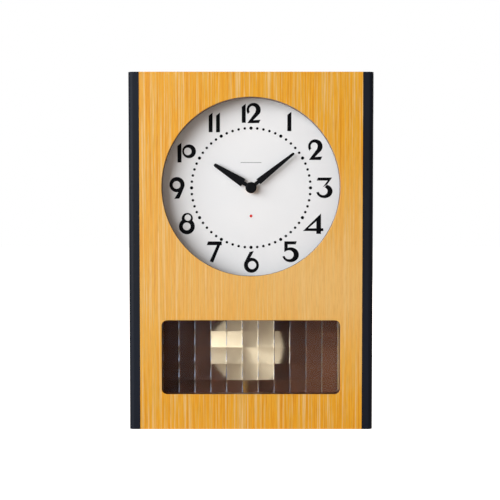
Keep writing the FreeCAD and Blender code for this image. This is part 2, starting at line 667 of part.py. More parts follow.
def battens():
    depth = (BATTEN_FRONT, BACK_FRONT)
    height = ("board_thick", "case_height-board_thick")
    left = block("batten_left", (f"-{INSIDE}", f"-({INSIDE}-batten)"), depth, height)
    left_holes = holes("left_pilot", LEFT_SCREWS) + holes("leaf_pilot", PANEL_LEAF_SCREWS, "small_shank")
    right = block("batten_right", (f"{INSIDE}-batten", INSIDE), depth, height)
    right_holes = holes("right_pilot", RIGHT_SCREWS + [BUTTON_SCREW])
    drilled = [cut("batten_left_drilled", left, left_holes), cut("batten_right_drilled", right, right_holes)]
    node(group("side_battens", drilled), "back_battens_side")
    across = (f"-({INSIDE}-batten)", f"{INSIDE}-batten")
    low = block("batten_bottom", across, depth, ("board_thick", "board_thick+batten"))
    node(cut("batten_bottom_drilled", low, holes("bottom_pilot", BOTTOM_SCREWS)), "back_batten_bottom")
    rail = block("rail", across, depth, ("case_height-board_thick-rail_height", "case_height-board_thick"))
    rail_holes = holes("rail_pilot", HANGER_SCREWS, "small_shank")
    node(cut("rail_drilled", rail, rail_holes + [nail_recess("rail_recess")]), "hanging_rail")


def back_panel():
    depth = (BACK_FRONT, BACK_REAR)
    across = (f"-({INSIDE}-back_side_gap)", f"{INSIDE}-back_side_gap")
    blank = block("back_blank", across, depth, ("back_end_gap", "case_height-back_end_gap"))
    opening = block("door_hole", ("door_left", "door_right"), depth, ("door_low", "door_high"))
    drilled = holes("back_hole", PANEL_SCREWS + [BUTTON_SCREW])
    drilled += holes("back_small", HANGER_SCREWS + PANEL_LEAF_SCREWS, "small_shank")
    node(cut("back_cut", blank, [opening, nail_recess("back_recess")] + drilled), "back_panel")
    screws("back_panel_screws", PANEL_SCREWS, BACK_REAR, "long_reach", BIG)


def hanger():
    rear = f"{BACK_REAR}+hanger_thick"
    depth = (BACK_REAR, rear)
    plate = block(
        "hanger_blank",
        ("-hanger_half", "hanger_half"),
        depth,
        ("hanger_z-hanger_down", "hanger_z+hanger_up"),
    )
    mouth = rod("hanger_mouth", "0", depth, "hanger_z", "nail_entry")
    slot = block("hanger_slot", ("-nail_slot", "nail_slot"), depth, ("hanger_z", "hanger_z+nail_travel"))
    seat = rod("hanger_seat", "0", depth, "hanger_z+nail_travel", "nail_slot")
    drilled = holes("hanger_hole", HANGER_SCREWS, "small_shank")
    node(cut("hanger_cut", plate, [mouth, slot, seat] + drilled), "hanger_plate")
    screws("hanger_screws", HANGER_SCREWS, rear, "long_reach", SMALL)


def back_door():
    door = block(
        "door_blank",
        ("door_left+door_gap", "door_right-door_gap"),
        (f"{BACK_FRONT}+door_play", BACK_REAR),
        ("door_low+door_gap", "door_high-door_gap"),
    )
    depth = (BACK_FRONT, BACK_REAR)
    finger = rod("finger_hole", "door_right-finger_inset", depth, "button_z", "finger_radius")
    drilled = holes("door_hole_small", DOOR_LEAF_SCREWS, "small_shank")
    node(cut("door_cut", door, [finger] + drilled), "back_door")
    screws("hinge_screws_door", DOOR_LEAF_SCREWS, f"{BACK_REAR}+leaf_thick", "short_reach", SMALL)


def knuckle(name, low, high):
    return rod(name, HINGE_X, HINGE_Y, (low, high), "knuckle_radius")


def hinge_leaf(name, height, side, spans):
    """A leaf on one side of the axis (side -1 left, 1 right) with knuckles over the given spans."""
    depth = (BACK_REAR, f"{BACK_REAR}+leaf_thick")
    far = f"{HINGE_X}+{side}*leaf_width"
    near = f"{HINGE_X}+{side}*leaf_root"
    whole = (f"{height}-hinge_half", f"{height}+hinge_half")
    plate = block(f"{name}_plate", (far, near) if side < 0 else (near, far), depth, whole)
    tongue_x = (near, HINGE_X) if side < 0 else (HINGE_X, near)
    pieces = [plate]
    for i, (low, high) in enumerate(spans, start=1):
        span = (f"{height}+{low}", f"{height}+{high}")
        pieces.append(block(f"{name}_tongue_{i}", tongue_x, depth, span))
        pieces.append(knuckle(f"{name}_knuckle_{i}", *span))
    bore = rod(f"{name}_bore", HINGE_X, HINGE_Y, whole, "hinge_pin_radius+fit")
    places = [(f"{HINGE_X}+{side}*leaf_screw_x", f"{height}+{end}*leaf_screw_z") for end in (-1, 1)]
    return cut(name, joined(f"{name}_blank", pieces), [bore] + holes(f"{name}_hole", places, "small_shank"))


def hinges():
    outer = (("-hinge_half", "-knuckle_half-knuckle_gap"), ("knuckle_half+knuckle_gap", "hinge_half"))
    middle = (("-knuckle_half", "knuckle_half"),)
    fixed = [hinge_leaf(f"fixed_leaf_{i}", z, -1, outer) for i, z in enumerate(HINGE_HEIGHTS, start=1)]
    moving = [hinge_leaf(f"moving_leaf_{i}", z, 1, middle) for i, z in enumerate(HINGE_HEIGHTS, start=1)]
    pins = [
        rod(f"hinge_pin_{i}", HINGE_X, HINGE_Y, (f"{z}-hinge_half", f"{z}+hinge_half"), "hinge_pin_radius")
        for i, z in enumerate(HINGE_HEIGHTS, start=1)
    ]
    node(group("fixed_leaves", fixed), "door_hinge_fixed_leaves")
    node(group("moving_leaves", moving), "door_hinge_moving_leaves")
    node(group("hinge_pins", pins), "door_hinge_pins")
    screws("hinge_screws_panel", PANEL_LEAF_SCREWS, f"{BACK_REAR}+leaf_thick", "long_reach", SMALL)


def turn_button():
    front = f"{BACK_REAR}+button_gap"
    depth = (front, f"{front}+button_thick")
    x, z = BUTTON_SCREW
    far = f"{z}-button_length"
    bar = block("button_bar", (f"{x}-button_half", f"{x}+button_half"), depth, (far, z))
    upper = rod("button_end", x, depth, z, "button_half")
    lower = rod("button_tip", x, depth, far, "button_half")
    bore_hole = rod("button_bore", x, depth, z, "big_shank+fit")
    node(cut("button_cut", joined("button_blank", [bar, upper, lower]), [bore_hole]), "turn_button")
    face = f"{front}+button_thick+door_play"
    screws("turn_button_screw", [BUTTON_SCREW], face, "long_reach+button_thick", BIG)


# ---------------------------------------------------------------- window


def window_glass():
    """A pane with upright flutes in its front and level flutes in its back."""
    low, high = "window_low-glass_margin", "window_high+glass_margin"
    half = "(window_width/2+glass_margin)"
    pane = block("pane", (f"-{half}", half), (PANEL_BACK, GLASS_BACK), (low, high))
    upright = [
        rod(f"flute_upright_{i}", f"flute_first_x+{i}*flute_pitch_x", PANEL_BACK, (low, high), "flute_depth")
        for i in range(-5, 7)
    ]
    heights = [f"window_low+flute_first_z+{i}*flute_pitch_z" for i in range(4)]
    level = [
        rod(f"flute_level_{i}", (f"-{half}", half), GLASS_BACK, z, "flute_depth")
        for i, z in enumerate(heights, start=1)
    ]
    node(cut("pane_fluted", pane, upright + level), "window_glass")


def glass_battens():
    """Four strips round the pane, with a rebate that its edge lies in."""
    depth = (PANEL_BACK, f"{PANEL_BACK}+glass_batten_thick")
    edge = "(window_width/2+glass_batten_step)"
    outside = f"({edge}+glass_batten_width)"
    low, high = "(window_low-glass_batten_step)", "(window_high+glass_batten_step)"
    room_half = "(window_width/2+glass_margin+glass_room)"
    room = ("window_low-glass_margin-glass_room", "window_high+glass_margin+glass_room")

    def rebated(name, x, z):
        pane_room = block(
            f"{name}_rebate", (f"-{room_half}", room_half), (PANEL_BACK, f"{GLASS_BACK}+glass_play"), room,
        )
        return cut(name, block(f"{name}_strip", x, depth, z), [pane_room])

    across = (f"-{outside}", outside)
    node(rebated("strip_top", across, (high, f"{high}+glass_batten_width")), "glass_batten_top")
    node(rebated("strip_bottom", across, (f"{low}-glass_batten_width", low)), "glass_batten_bottom")
    left = rebated("strip_left", (f"-{outside}", f"-{edge}"), (low, high))
    right = rebated("strip_right", (edge, outside), (low, high))
    node(group("side_strips", [left, right]), "glass_battens_side")


# ---------------------------------------------------------------- dial and hands


def dial_screw_rods(name, reach):
    """The dial screws' holes, from behind the dial to a reach in front of the front panel's back."""
    depth = (f"{PANEL_BACK}-{reach}", f"{DIAL_BACK}+hole_over")
    return [rod(f"{name}_{i}", x, depth, z, "big_shank+fit") for i, (x, z) in enumerate(DIAL_SCREWS, start=1)]


def dial():
    back = (PANEL_BACK, DIAL_FRONT)
    ring = rod("spacer_disc", "0", back, "axis_z", "dial_radius")
    hole = rod("spacer_hole", "0", back, "axis_z", "spacer_inner")
    node(cut("spacer_cut", ring, [hole] + dial_screw_rods("spacer_pilot", "hole_over")), "dial_spacer_ring")
    depth = (DIAL_FRONT, DIAL_BACK)
    disc = rod("dial_disc", "0", depth, "axis_z", "dial_radius")
    centre = rod("dial_centre", "0", depth, "axis_z", "bush_radius+fit")
    node(cut("dial_cut", disc, [centre] + dial_screw_rods("dial_pilot", "hole_over")), "dial_plate")
    screws("dial_screws", DIAL_SCREWS, DIAL_BACK, "dial_screw_reach", BIG)


def hand(kind, hole_radius):
    """A hand that points up: a hub, a thin neck, a square shoulder and a long taper with a round tip.

    kind is "hour" or "minute", which starts the names of that hand's dimensions.
    """
    label = f"{kind}_hand"
    neck, shoulder = f"{kind}_neck", f"{kind}_shoulder"
    half_width, half_tip = f"{kind}_half_width", f"{kind}_half_tip"
    body = new_body(f"{label}_body")
    back = f"({label}_front+hand_thick)"
    hub = front_sketch(body, f"{label}_hub", back)
    circle(hub, "0", "0", "hand_hub")
    pad(body, hub, "hand_thick")
    blade = front_sketch(body, f"{label}_blade", back)
    straight = f"({kind}_length-{half_tip})"
    polygon(blade, (
        (f"-{neck}", "0"),
        (neck, "0"),
        (neck, shoulder),
        (half_width, shoulder),
        (half_tip, straight),
        (f"-{half_tip}", straight),
        (f"-{half_width}", shoulder),
        (f"-{neck}", shoulder),
    ))
    pad(body, blade, "hand_thick")
    tip = front_sketch(body, f"{label}_tip", back)
    circle(tip, "0", straight, half_tip)
    pad(body, tip, "hand_thick")
    tube = front_sketch(body, f"{label}_collar", f"{back}+collar_thick")
    circle(tube, "0", "0", f"{kind}_collar")
    pad(body, tube, "collar_thick")
    bore(body, f"{label}_bore", hole_radius)
    body.Placement = Placement(Vector(), Rotation(Vector(0, 1, 0), 1))
    drive(body, "Placement.Rotation.Angle", f"{kind}_angle")
    drive(body, "Placement.Base.z", "axis_z")
    return node(body, label)


def hand_cap():
    body = new_body("hand_cap_body")
    disc = front_sketch(body, "cap_disc", "minute_hand_front")
    circle(disc, "0", "0", "cap_radius")
    pad(body, disc, "cap_thick")
    front = size("minute_hand_front") - size("cap_thick")
    fillet(body, "cap_round",
           lambda edge: abs(edge.BoundBox.YMin - front) < NEAR and edge.BoundBox.YLength < NEAR)
    depth = ("minute_hand_front-cap_socket", "minute_hand_front+hole_over")
    socket = rod("cap_hole", "0", depth, "0", "arbor_radius+fit")
    item = cut("hand_cap_cut", body, [socket])
    drive(item, "Placement.Base.z", "axis_z")
    return node(item, "hand_cap")


# ---------------------------------------------------------------- movement: case and fixed pieces


def at_axis(item, x="0", z="0"):
    """Moves a piece drawn about its own axis to its place in the movement."""
    drive(item, "Placement.Base.x", x)
    drive(item, "Placement.Base.z", f"axis_z+{z}")
    return item


def pivot_holes(name, depth):
    """Holes for the small arbors, drawn about the hands' axis."""
    centres = (MINUTE_WHEEL, THIRD_WHEEL, SECONDS_WHEEL, INTERMEDIATE_WHEEL, ROTOR)
    return [rod(f"{name}_{i}", x, depth, z, "pivot_radius+fit") for i, (x, z) in enumerate(centres, start=1)]


def bay_walls(name, depth):
    """The inner side and the two ends of the battery bay."""
    across = ("bay_left-wall", "movement_half-wall")
    side = block(f"{name}_side", ("bay_left-wall", "bay_left"), depth, ("bay_low-wall", "bay_high+wall"))
    low = block(f"{name}_low", across, depth, ("bay_low-wall", "bay_low"))
    high = block(f"{name}_high", across, depth, ("bay_high", "bay_high+wall"))
    return [side, low, high]


def half_case(name, depth, inner):
    """One half of the movement's case, open where the halves meet."""
    across = ("-movement_half", "movement_half")
    outside = block(f"{name}_block", across, depth, ("-movement_down", "movement_up"))
    hollow = block(
        f"{name}_hollow",
        ("wall-movement_half", "movement_half-wall"),
        inner,
        ("wall-movement_down", "movement_up-wall"),
    )
    return cut(f"{name}_shell", outside, [hollow])


def posts(name, places, back, radius):
    """Posts from the inner face of the front case back to a given depth."""
    depth = (MOVEMENT_INNER, back)
    return [rod(f"{name}_{i}", x, depth, z, radius) for i, (x, z) in enumerate(places, start=1)]


def movement_front_case():
    inner = (MOVEMENT_INNER, MOVEMENT_SPLIT)
    shell = half_case("front_case", (DIAL_BACK, MOVEMENT_SPLIT), inner)
    floor = block(
        "bay_floor",
        ("bay_left-wall", "movement_half-wall"),
        ("bay_floor_front", "bay_floor_back"),
        ("bay_low-wall", "bay_high+wall"),
    )
    pieces = [shell, floor] + bay_walls("front_bay", inner)
    pieces += posts("bridge_post", BRIDGE_POSTS, "bridge_front", "bridge_post_radius")
    pieces += posts("board_post", BOARD_POSTS, "board_front", "board_post_radius")
    pieces += posts("stator_post", STATOR_POSTS, "stator_front", "stator_post_radius")
    through = (f"{DIAL_BACK}-hole_over", f"{MOVEMENT_INNER}+hole_over")
    bush = rod("front_case_bush_hole", "0", through, "0", "bush_radius+fit")
    blind = (f"{MOVEMENT_INNER}-pivot_deep", MOVEMENT_INNER)
    knob = rod("front_knob_pivot", KNOB[0], blind, KNOB[1], "knob_shaft_radius+fit")
    tools = [bush, knob] + pivot_holes("front_pivot", blind)
    node(at_axis(cut("front_case_cut", joined("front_case_solid", pieces), tools)), "movement_front_case")


def movement_rear_case():
    depth = (MOVEMENT_SPLIT, MOVEMENT_BACK)
    inner = (MOVEMENT_SPLIT, f"{MOVEMENT_BACK}-wall")
    shell = half_case("rear_case", depth, inner)
    solid = joined("rear_case_solid", [shell] + bay_walls("rear_bay", inner))
    bay = block("bay_mouth", ("bay_left", "movement_half-wall"), depth, ("bay_low", "bay_high"))
    slot = block(
        "lever_slot",
        ("-lever_slot_half", "lever_slot_half"),
        (MOVEMENT_SPLIT, f"{ROD_BACK}-stud_play-arbor_short"),
        ("-movement_down-hole_over", "wall-movement_down+hole_over"),
    )
    through = (MOVEMENT_SPLIT, f"{MOVEMENT_BACK}+hole_over")
    knob = rod("rear_knob_hole", KNOB[0], through, KNOB[1], "knob_shaft_radius+fit")
    blind = (f"{MOVEMENT_BACK}-wall-hole_over", PIN_HOLE_BACK)
    pin = rod("rear_pin_hole", "0", blind, "pivot_rise", "stud_radius+fit")
    node(at_axis(cut("rear_case_cut", solid, [bay, slot, knob, pin])), "movement_rear_case")


def bush_and_nut():
    tube = rod("bush_tube", "0", ("bush_front", MOVEMENT_INNER), "0", "bush_radius")
    flange_depth = (MOVEMENT_INNER, f"{MOVEMENT_INNER}+flange_thick")
    flange = rod("bush_flange", "0", flange_depth, "0", "flange_radius")
    bore_depth = ("bush_front-hole_over", "bush_bore_back")
    tube_bore = rod("bush_bore", "0", bore_depth, "0", "hour_tube_radius+bush_slack")
    node(at_axis(cut("bush_cut", joined("bush_blank", [tube, flange]), [tube_bore])), "mounting_bush")
    washer_front = f"{DIAL_FRONT}-washer_thick"
    washer = rod("washer_disc", "0", (washer_front, DIAL_FRONT), "0", "washer_radius")
    tool_depth = ("bush_front-hole_over", f"{DIAL_FRONT}+hole_over")
    washer_hole = rod("washer_hole", "0", tool_depth, "0", "bush_radius+fit")
    node(at_axis(cut("washer_cut", washer, [washer_hole])), "bush_washer")
    nut = rod("bush_nut_disc", "0", ("nut_front", washer_front), "0", "nut_disc_radius")
    notches = [
        block(f"bush_nut_notch_{i}", across, tool_depth, ("-notch_half", "notch_half"))
        for i, across in enumerate(NOTCHES, start=1)
    ]
    nut_hole = rod("bush_nut_hole", "0", tool_depth, "0", "bush_radius+fit")
    node(at_axis(cut("bush_nut_cut", nut, [nut_hole] + notches)), "bush_nut")


def train_bridge():
    depth = ("bridge_front", BRIDGE_BACK)
    plate = block("bridge_plate", ("bridge_left", "bridge_right"), depth, ("bridge_low", "bridge_high"))
    through = ("bridge_front-hole_over", f"{BRIDGE_BACK}+hole_over")
    knob = rod("bridge_knob_hole", KNOB[0], through, KNOB[1], "knob_shaft_radius+fit")
    centre = rod("bridge_centre_hole", "0", through, "0", "arbor_radius+fit")
    pin = rod("bridge_pin_hole", "0", through, "pivot_rise", "stud_radius+fit")
    tools = [knob, centre, pin] + pivot_holes("bridge_pivot", through)
    node(at_axis(cut("bridge_cut", plate, tools)), "train_bridge")


def motor():
    depth = ("stator_front", STATOR_BACK)
    height = ("stator_low", "stator_high")
    across = ("stator_left", "stator_right")
    cross = block("stator_cross_piece", across, depth, ("stator_low", "stator_cross"))
    left = block("stator_leg_left", ("stator_left", "stator_left+stator_leg"), depth, height)
    right = block("stator_leg_right", ("stator_right-stator_leg", "stator_right"), depth, height)
    rotor_room = rod("stator_hole", ROTOR[0], depth, ROTOR[1], "stator_bore")
    node(at_axis(cut("stator_cut", joined("stator_blank", [cross, left, right]), [rotor_room])), "stator")
    core_depth = (STATOR_BACK, f"{STATOR_BACK}+lamina")
    bar = block("core_bar", across, core_depth, ("core_low", "stator_high"))
    node(at_axis(group("core", [bar])), "coil_core")
    middle_y, middle_z = f"{STATOR_BACK}+lamina/2", "(core_low+stator_high)/2"
    ends = (
        ("coil_left-coil_flange_thick", "coil_left"),
        ("coil_right", "coil_right+coil_flange_thick"),
    )
    winding = rod("winding", ("coil_left", "coil_right"), middle_y, middle_z, "coil_radius")
    flanges = [
        rod(f"winding_flange_{i}", across, middle_y, middle_z, "coil_flange_radius")
        for i, across in enumerate(ends, start=1)
    ]
    passage = block(
        "winding_bore",
        ("coil_left-coil_flange_thick-hole_over", "coil_right+coil_flange_thick+hole_over"),
        (f"{STATOR_BACK}-fit", f"{STATOR_BACK}+lamina+fit"),
        ("core_low-fit", "stator_high+fit"),
    )
    node(at_axis(cut("coil_cut", joined("coil_blank", [winding] + flanges), [passage])), "motor_coil")


def electronics():
    board_back = "(board_front+lamina)"
    depth = ("board_front", board_back)
    board = block("board", ("board_left", "board_right"), depth, ("board_low", "board_high"))
    through = ("board_front-hole_over", f"{board_back}+hole_over")
    peg_hole = rod("board_peg_hole", "peg_hole_x", through, "peg_hole_z", "peg_hole_radius")
    node(at_axis(cut("board_cut", board, [peg_hole])), "circuit_board")
    can_y = f"{board_back}+crystal_radius+fit*2"
    can = rod("crystal_can", ("crystal_left", "crystal_right"), can_y, "crystal_z", "crystal_radius")
    lead = block(
        "crystal_lead",
        ("crystal_right", "crystal_right+lead_long"),
        (board_back, can_y),
        ("crystal_z-lead_half", "crystal_z+lead_half"),
    )
    node(at_axis(joined("crystal", [can, lead])), "quartz_crystal")
    coil = rod("drive_winding", "0", (board_back, "drive_back"), "drive_z", "drive_radius")
    eye_depth = (f"{board_back}-hole_over", "drive_back+hole_over")
    eye = rod("drive_hole", "0", eye_depth, "drive_z", "drive_eye")
    node(at_axis(cut("drive_coil_cut", coil, [eye])), "drive_coil")


def contacts_and_battery():
    right = "(movement_half-wall)"
    middle = f"((bay_left+{right})/2)"
    centre_y = "(battery_front+battery_radius)"
    bottom = "(bay_low+battery_low)"
    shoulder = f"({bottom}+battery_length-nub_high)"
    cell = rod("cell_can", middle, centre_y, (bottom, shoulder), "battery_radius")
    nub = rod("cell_nub", middle, centre_y, (shoulder, f"{bottom}+battery_length"), "nub_radius")
    node(at_axis(joined("cell", [cell, nub])), "battery_cell")
    plate = block(
        "plus_plate",
        ("bay_left+contact_inset", f"{right}-contact_inset"),
        ("contact_front", "contact_back"),
        ("bay_high-contact_thick", "bay_high"),
    )
    bump_height = ("bay_high-bump_reach", "bay_high-contact_thick+arbor_short")
    bump = rod("plus_bump", middle, centre_y, bump_height, "bump_radius")
    node(at_axis(joined("plus", [plate, bump])), "battery_contact_positive")
    body = new_body("minus_spring")
    leaf = front_sketch(body, "minus_leaf", "spring_back")
    polygon(leaf, (
        ("bay_left+1", "bay_low"),
        (f"{right}-1", "bay_low"),
        (f"{right}-1", "bay_low+contact_thick"),
        ("bay_left+3", "bay_low+contact_thick"),
        (f"{right}-4", "bay_low+spring_rise-0.4"),
        (f"{right}-4.3", "bay_low+spring_rise"),
        ("bay_left+1", "bay_low+contact_thick+0.4"),
    ))
    pad(body, leaf, "spring_wide")
    node(at_axis(body), "battery_contact_negative")


# ---------------------------------------------------------------- movement: wheels


def toothed(body, name, teeth, module, front, thick, turn):
    """Adds a toothed disc: the disc inside the roots, then one straight-sided tooth repeated round it.

    turn is the direction of the first tooth, in degrees anticlockwise from +X seen from the front.
    """
    back = f"{front}+{thick}"
    root = f"{module}*({teeth}/2-tooth_root)"
    tip = f"{module}*({teeth}/2+tooth_rise)"
    disc = front_sketch(body, f"{name}_disc", back)
    circle(disc, "0", "0", root)
    pad(body, disc, thick)
    tooth = front_sketch(body, f"{name}_tooth", back)
    tooth.AttachmentOffset = Placement(Vector(), Rotation(Vector(0, 0, 1), turn))
    inner = f"{module}*({teeth}/2-tooth_inside)"
    base_half, tip_half = f"tooth_base_half*{module}", f"tooth_tip_half*{module}"
    polygon(tooth, (
        (inner, f"-{base_half}"),
        (tip, f"-{tip_half}"),
        (tip, tip_half),
        (inner, base_half),
    ))
    polar(body, pad(body, tooth, thick), tooth, teeth)


def shaft(body, name, front, back, radius):
    outline = front_sketch(body, name, back)
    circle(outline, "0", "0", radius)
    pad(body, outline, f"({back})-({front})")


def compound_wheel(label, place, wheel, pinion):
    """A wheel and a pinion on one small arbor; each is (teeth, module, front, thickness, turn)."""
    body = new_body(f"{label}_body")
    shaft(body, f"{label}_arbor", *ARBOR_ENDS, "pivot_radius")
    toothed(body, f"{label}_pinion", *pinion)
    toothed(body, f"{label}_wheel", *wheel)
    return node(at_axis(body, *place), label)


def hour_wheel():
    body = new_body("hour_wheel_body")
    shaft(body, "hour_tube", "hour_hand_front-0.2", "hour_layer+1", "hour_tube_radius")
    toothed(body, "hour_teeth", 40, "hour_module", "hour_layer", "1", 0)
    bore(body, "hour_bore", "arbor_radius+0.08")
    node(at_axis(body), "hour_wheel")


def minute_arbor():
    body = new_body("minute_arbor_body")
    shaft(body, "minute_shaft", "minute_hand_front-1", ARBOR_ENDS[1], "arbor_radius")
    toothed(body, "cannon_teeth", 14, "minute_module", "minute_layer-0.1", "1.2", 0)
    node(at_axis(body), "minute_arbor")


def centre_wheel():
    body = new_body("centre_wheel_body")
    shaft(body, "centre_hub", "centre_layer-0.3", "centre_layer+1.4", "centre_hub_radius")
    toothed(body, "centre_teeth", 64, "centre_module", "centre_layer", "0.8", 90)
    bore(body, "centre_bore", "arbor_radius+fit")
    node(at_axis(body), "centre_wheel")


def set_knob():
    body = new_body("set_knob_body")
    front = f"({MOVEMENT_BACK}+knob_gap)"
    back = f"{front}+knob_thick"
    shaft(body, "knob_shaft", ARBOR_ENDS[0], back, "knob_shaft_radius")
    toothed(body, "knob_pinion", 14, "minute_module", "minute_layer-0.1", "1.2", 90 + 180 / 14)
    shaft(body, "knob_disc", front, back, "knob_radius")
    rib = front_sketch(body, "knob_ribs", back)
    circle(rib, "knob_radius", "0", "knob_rib")
    polar(body, pad(body, rib, "knob_thick"), rib, 16)
    node(at_axis(body, *KNOB), "set_knob")


def rotor():
    body = new_body("rotor_body")
    shaft(body, "rotor_arbor", *ARBOR_ENDS, "pivot_radius")
    shaft(body, "rotor_magnet", "magnet_front", "magnet_back", "magnet_radius")
    toothed(body, "rotor_pinion", 10, "rotor_module", "rotor_layer-0.2", "1", 240 + 180 / 10)
    node(at_axis(body, *ROTOR), "rotor")


def wheels():
    hour_wheel()
    minute_arbor()
    centre_wheel()
    half_step = 180 / 10
    compound_wheel(
        "minute_wheel", MINUTE_WHEEL,
        (42, "minute_module", "minute_layer", "1", 180 / 42),
        (10, "hour_module", "hour_layer-0.1", "1.2", half_step),
    )
    compound_wheel(
        "third_wheel", THIRD_WHEEL,
        (60, "third_module", "third_layer", "0.7", 150),
        (8, "centre_module", "centre_layer-0.3", "1.5", 270 + 180 / 8),
    )
    compound_wheel(
        "seconds_wheel", SECONDS_WHEEL,
        (60, "seconds_module", "seconds_layer", "0.7", 120),
        (8, "third_module", "third_layer-0.2", "1.1", 330 + 180 / 8),
    )
    compound_wheel(
        "intermediate_wheel", INTERMEDIATE_WHEEL,
        (50, "rotor_module", "rotor_layer", "0.6", 60),
        (10, "seconds_module", "seconds_layer-0.2", "1.1", 300 + half_step),
    )
    rotor()
    set_knob()


# ---------------------------------------------------------------- pendulum


def hang(item, height="0"):
    """Turns a pendulum piece about the pivot; height is where its own origin hangs when upright."""
    item.Placement = Placement(Vector(), Rotation(Vector(0, 1, 0), 1))
    drive(item, "Placement.Rotation.Angle", "swing")
    drive(item, "Placement.Base.x", f"-sin(swing)*({PIVOT_Z}-{height})")
    drive(item, "Placement.Base.z", f"{PIVOT_Z}-cos(swing)*({PIVOT_Z}-{height})")
    return item


def lever():
    depth = ("lever_front", LEVER_BACK)
    stud_z = "axis_z-stud_drop"
    bar = block("lever_bar", ("-lever_half", "lever_half"), depth, ("axis_z-lever_long", PIVOT_Z))
    eye = rod("lever_top", "0", depth, PIVOT_Z, "lever_eye")
    seat = rod("lever_seat", "0", depth, "axis_z+drive_z", "drive_magnet_radius")
    boss_depth = ("lever_front-boss_ahead", f"{LEVER_BACK}+boss_behind")
    boss = rod("lever_hub", "0", boss_depth, PIVOT_Z, "lever_boss")
    head_front = f"({ROD_BACK}+stud_play)"
    stud = rod("lever_stud", "0", (LEVER_BACK, f"{head_front}+fit"), stud_z, "stud_radius")
    head = rod("lever_stud_head", "0", (head_front, f"{head_front}+stud_head_thick"), stud_z, "stud_head")
    through = ("lever_front-boss_ahead-hole_over", f"{LEVER_BACK}+boss_behind+hole_over")
    hole = rod("lever_bore", "0", through, PIVOT_Z, "stud_radius+fit")
    solid = joined("lever_blank", [bar, eye, seat, boss, stud, head])
    node(hang(cut("lever_cut", solid, [hole])), "pendulum_lever")
    magnet_depth = ("lever_front-drive_magnet_thick", "lever_front")
    magnet = rod("magnet_disc", "0", magnet_depth, "axis_z+drive_z", "drive_magnet_radius")
    node(hang(group("magnet", [magnet])), "lever_magnet")
    pin = rod("pivot_pin", "0", ("bridge_front", f"{PIN_HOLE_BACK}-arbor_short"), "pivot_rise", "stud_radius")
    collar_depth = (BRIDGE_BACK, f"{BRIDGE_BACK}+pin_collar_thick")
    collar = rod("pivot_collar", "0", collar_depth, "pivot_rise", "pin_collar")
    node(at_axis(joined("pivot", [pin, collar])), "pendulum_pivot_pin")


def pendulum_rod():
    depth = ("rod_front", ROD_BACK)
    strip = block("rod_strip", ("-rod_width/2", "rod_width/2"), depth, ("rod_low", "axis_z-rod_top_drop"))
    thread = rod("rod_thread", "0", ROD_MIDDLE, ("thread_low", "thread_high"), "thread_radius")
    through = ("rod_front-hole_over", f"{ROD_BACK}+hole_over")
    eye = rod("rod_eye", "0", through, "axis_z-stud_drop", "stud_radius+fit")
    node(hang(cut("rod_cut", joined("rod_blank", [strip, thread]), [eye])), "pendulum_rod")


def bob():
    """A shallow crowned disc turned about its own axis, with two guides for the rod behind it."""
    disc = new_body("bob_disc")
    half = disc.newObject("Sketcher::SketchObject", "bob_profile")
    half.AttachmentSupport = [(plane(disc, "YZ_Plane"), "")]
    half.MapMode = "FlatFace"
    front = "(bob_back-bob_rim)"
    steps = 8
    crown = [
        (f"{front}-bob_crown*(1-({i}/{steps})^2)", f"(bob_radius-bob_edge)*{i}/{steps}")
        for i in range(steps + 1)
    ]
    rim = [(f"{front}+bob_edge", "bob_radius"), ("bob_back", "bob_radius"), ("bob_back", "0")]
    polygon(half, crown + rim)
    turned = disc.newObject("PartDesign::Revolution", "bob_turned")
    turned.Profile = half
    turned.ReferenceAxis = (half, ["H_Axis"])
    turned.Angle = 360
    disc.Tip = turned
    guide_depth = ("bob_back", f"{ROD_BACK}+guide_wall")
    spans = (("upper_guide_low", "upper_guide_high"), ("lower_guide_low", "lower_guide_high"))
    guides = [
        block(f"guide_{i}", ("-guide_half", "guide_half"), guide_depth, span)
        for i, span in enumerate(spans, start=1)
    ]
    strip_room = block(
        "guide_room",
        ("-rod_width/2-guide_play", "rod_width/2+guide_play"),
        ("rod_front-guide_play", f"{ROD_BACK}+guide_play"),
        ("rod_low-bob_z", "upper_guide_high+hole_over"),
    )
    bore_height = ("lower_guide_low-hole_over", "lower_guide_high+hole_over")
    thread_room = rod("guide_bore", "0", ROD_MIDDLE, bore_height, "thread_radius+guide_play")
    solid = joined("bob_blank", [disc] + guides)
    node(hang(cut("bob_cut", solid, [strip_room, thread_room]), "bob_z"), "pendulum_bob")


def level_sketch(body, name):
    """A sketch in the body's own level plane."""
    sketch = body.newObject("Sketcher::SketchObject", name)
    sketch.AttachmentSupport = [(plane(body, "XY_Plane"), "")]
    sketch.MapMode = "FlatFace"
    return sketch


def rating_nut():
    body = new_body("rating_nut_body")
    outline = level_sketch(body, "nut_outline")
    circle(outline, "0", "0", "nut_radius-nut_rib")
    pad(body, outline, "nut_high-nut_low")
    rib = level_sketch(body, "nut_ribs")
    circle(rib, "nut_radius-nut_rib", "0", "nut_rib")
    polar(body, pad(body, rib, "nut_high-nut_low-nut_bevel"), rib, 20)
    tapped = level_sketch(body, "nut_bore")
    circle(tapped, "0", "0", "thread_radius+fit")
    pocket(body, tapped)
    item = hang(body, "nut_low")
    drive(item, "Placement.Base.y", ROD_MIDDLE)
    node(item, "rating_nut")


# ---------------------------------------------------------------- build, check, write

front_panel()
side_panel("side_panel_left", -1)
side_panel("side_panel_right", 1)
boards()
battens()
back_panel()
hanger()
back_door()
hinges()
turn_button()
window_glass()
glass_battens()
dial()
hand("hour", "hour_tube_radius+fit")
hand("minute", "arbor_radius+fit")
hand_cap()
movement_front_case()
movement_rear_case()
bush_and_nut()
train_bridge()
motor()
electronics()
contacts_and_battery()
wheels()
lever()
pendulum_rod()
bob()
rating_nut()
doc.recompute()

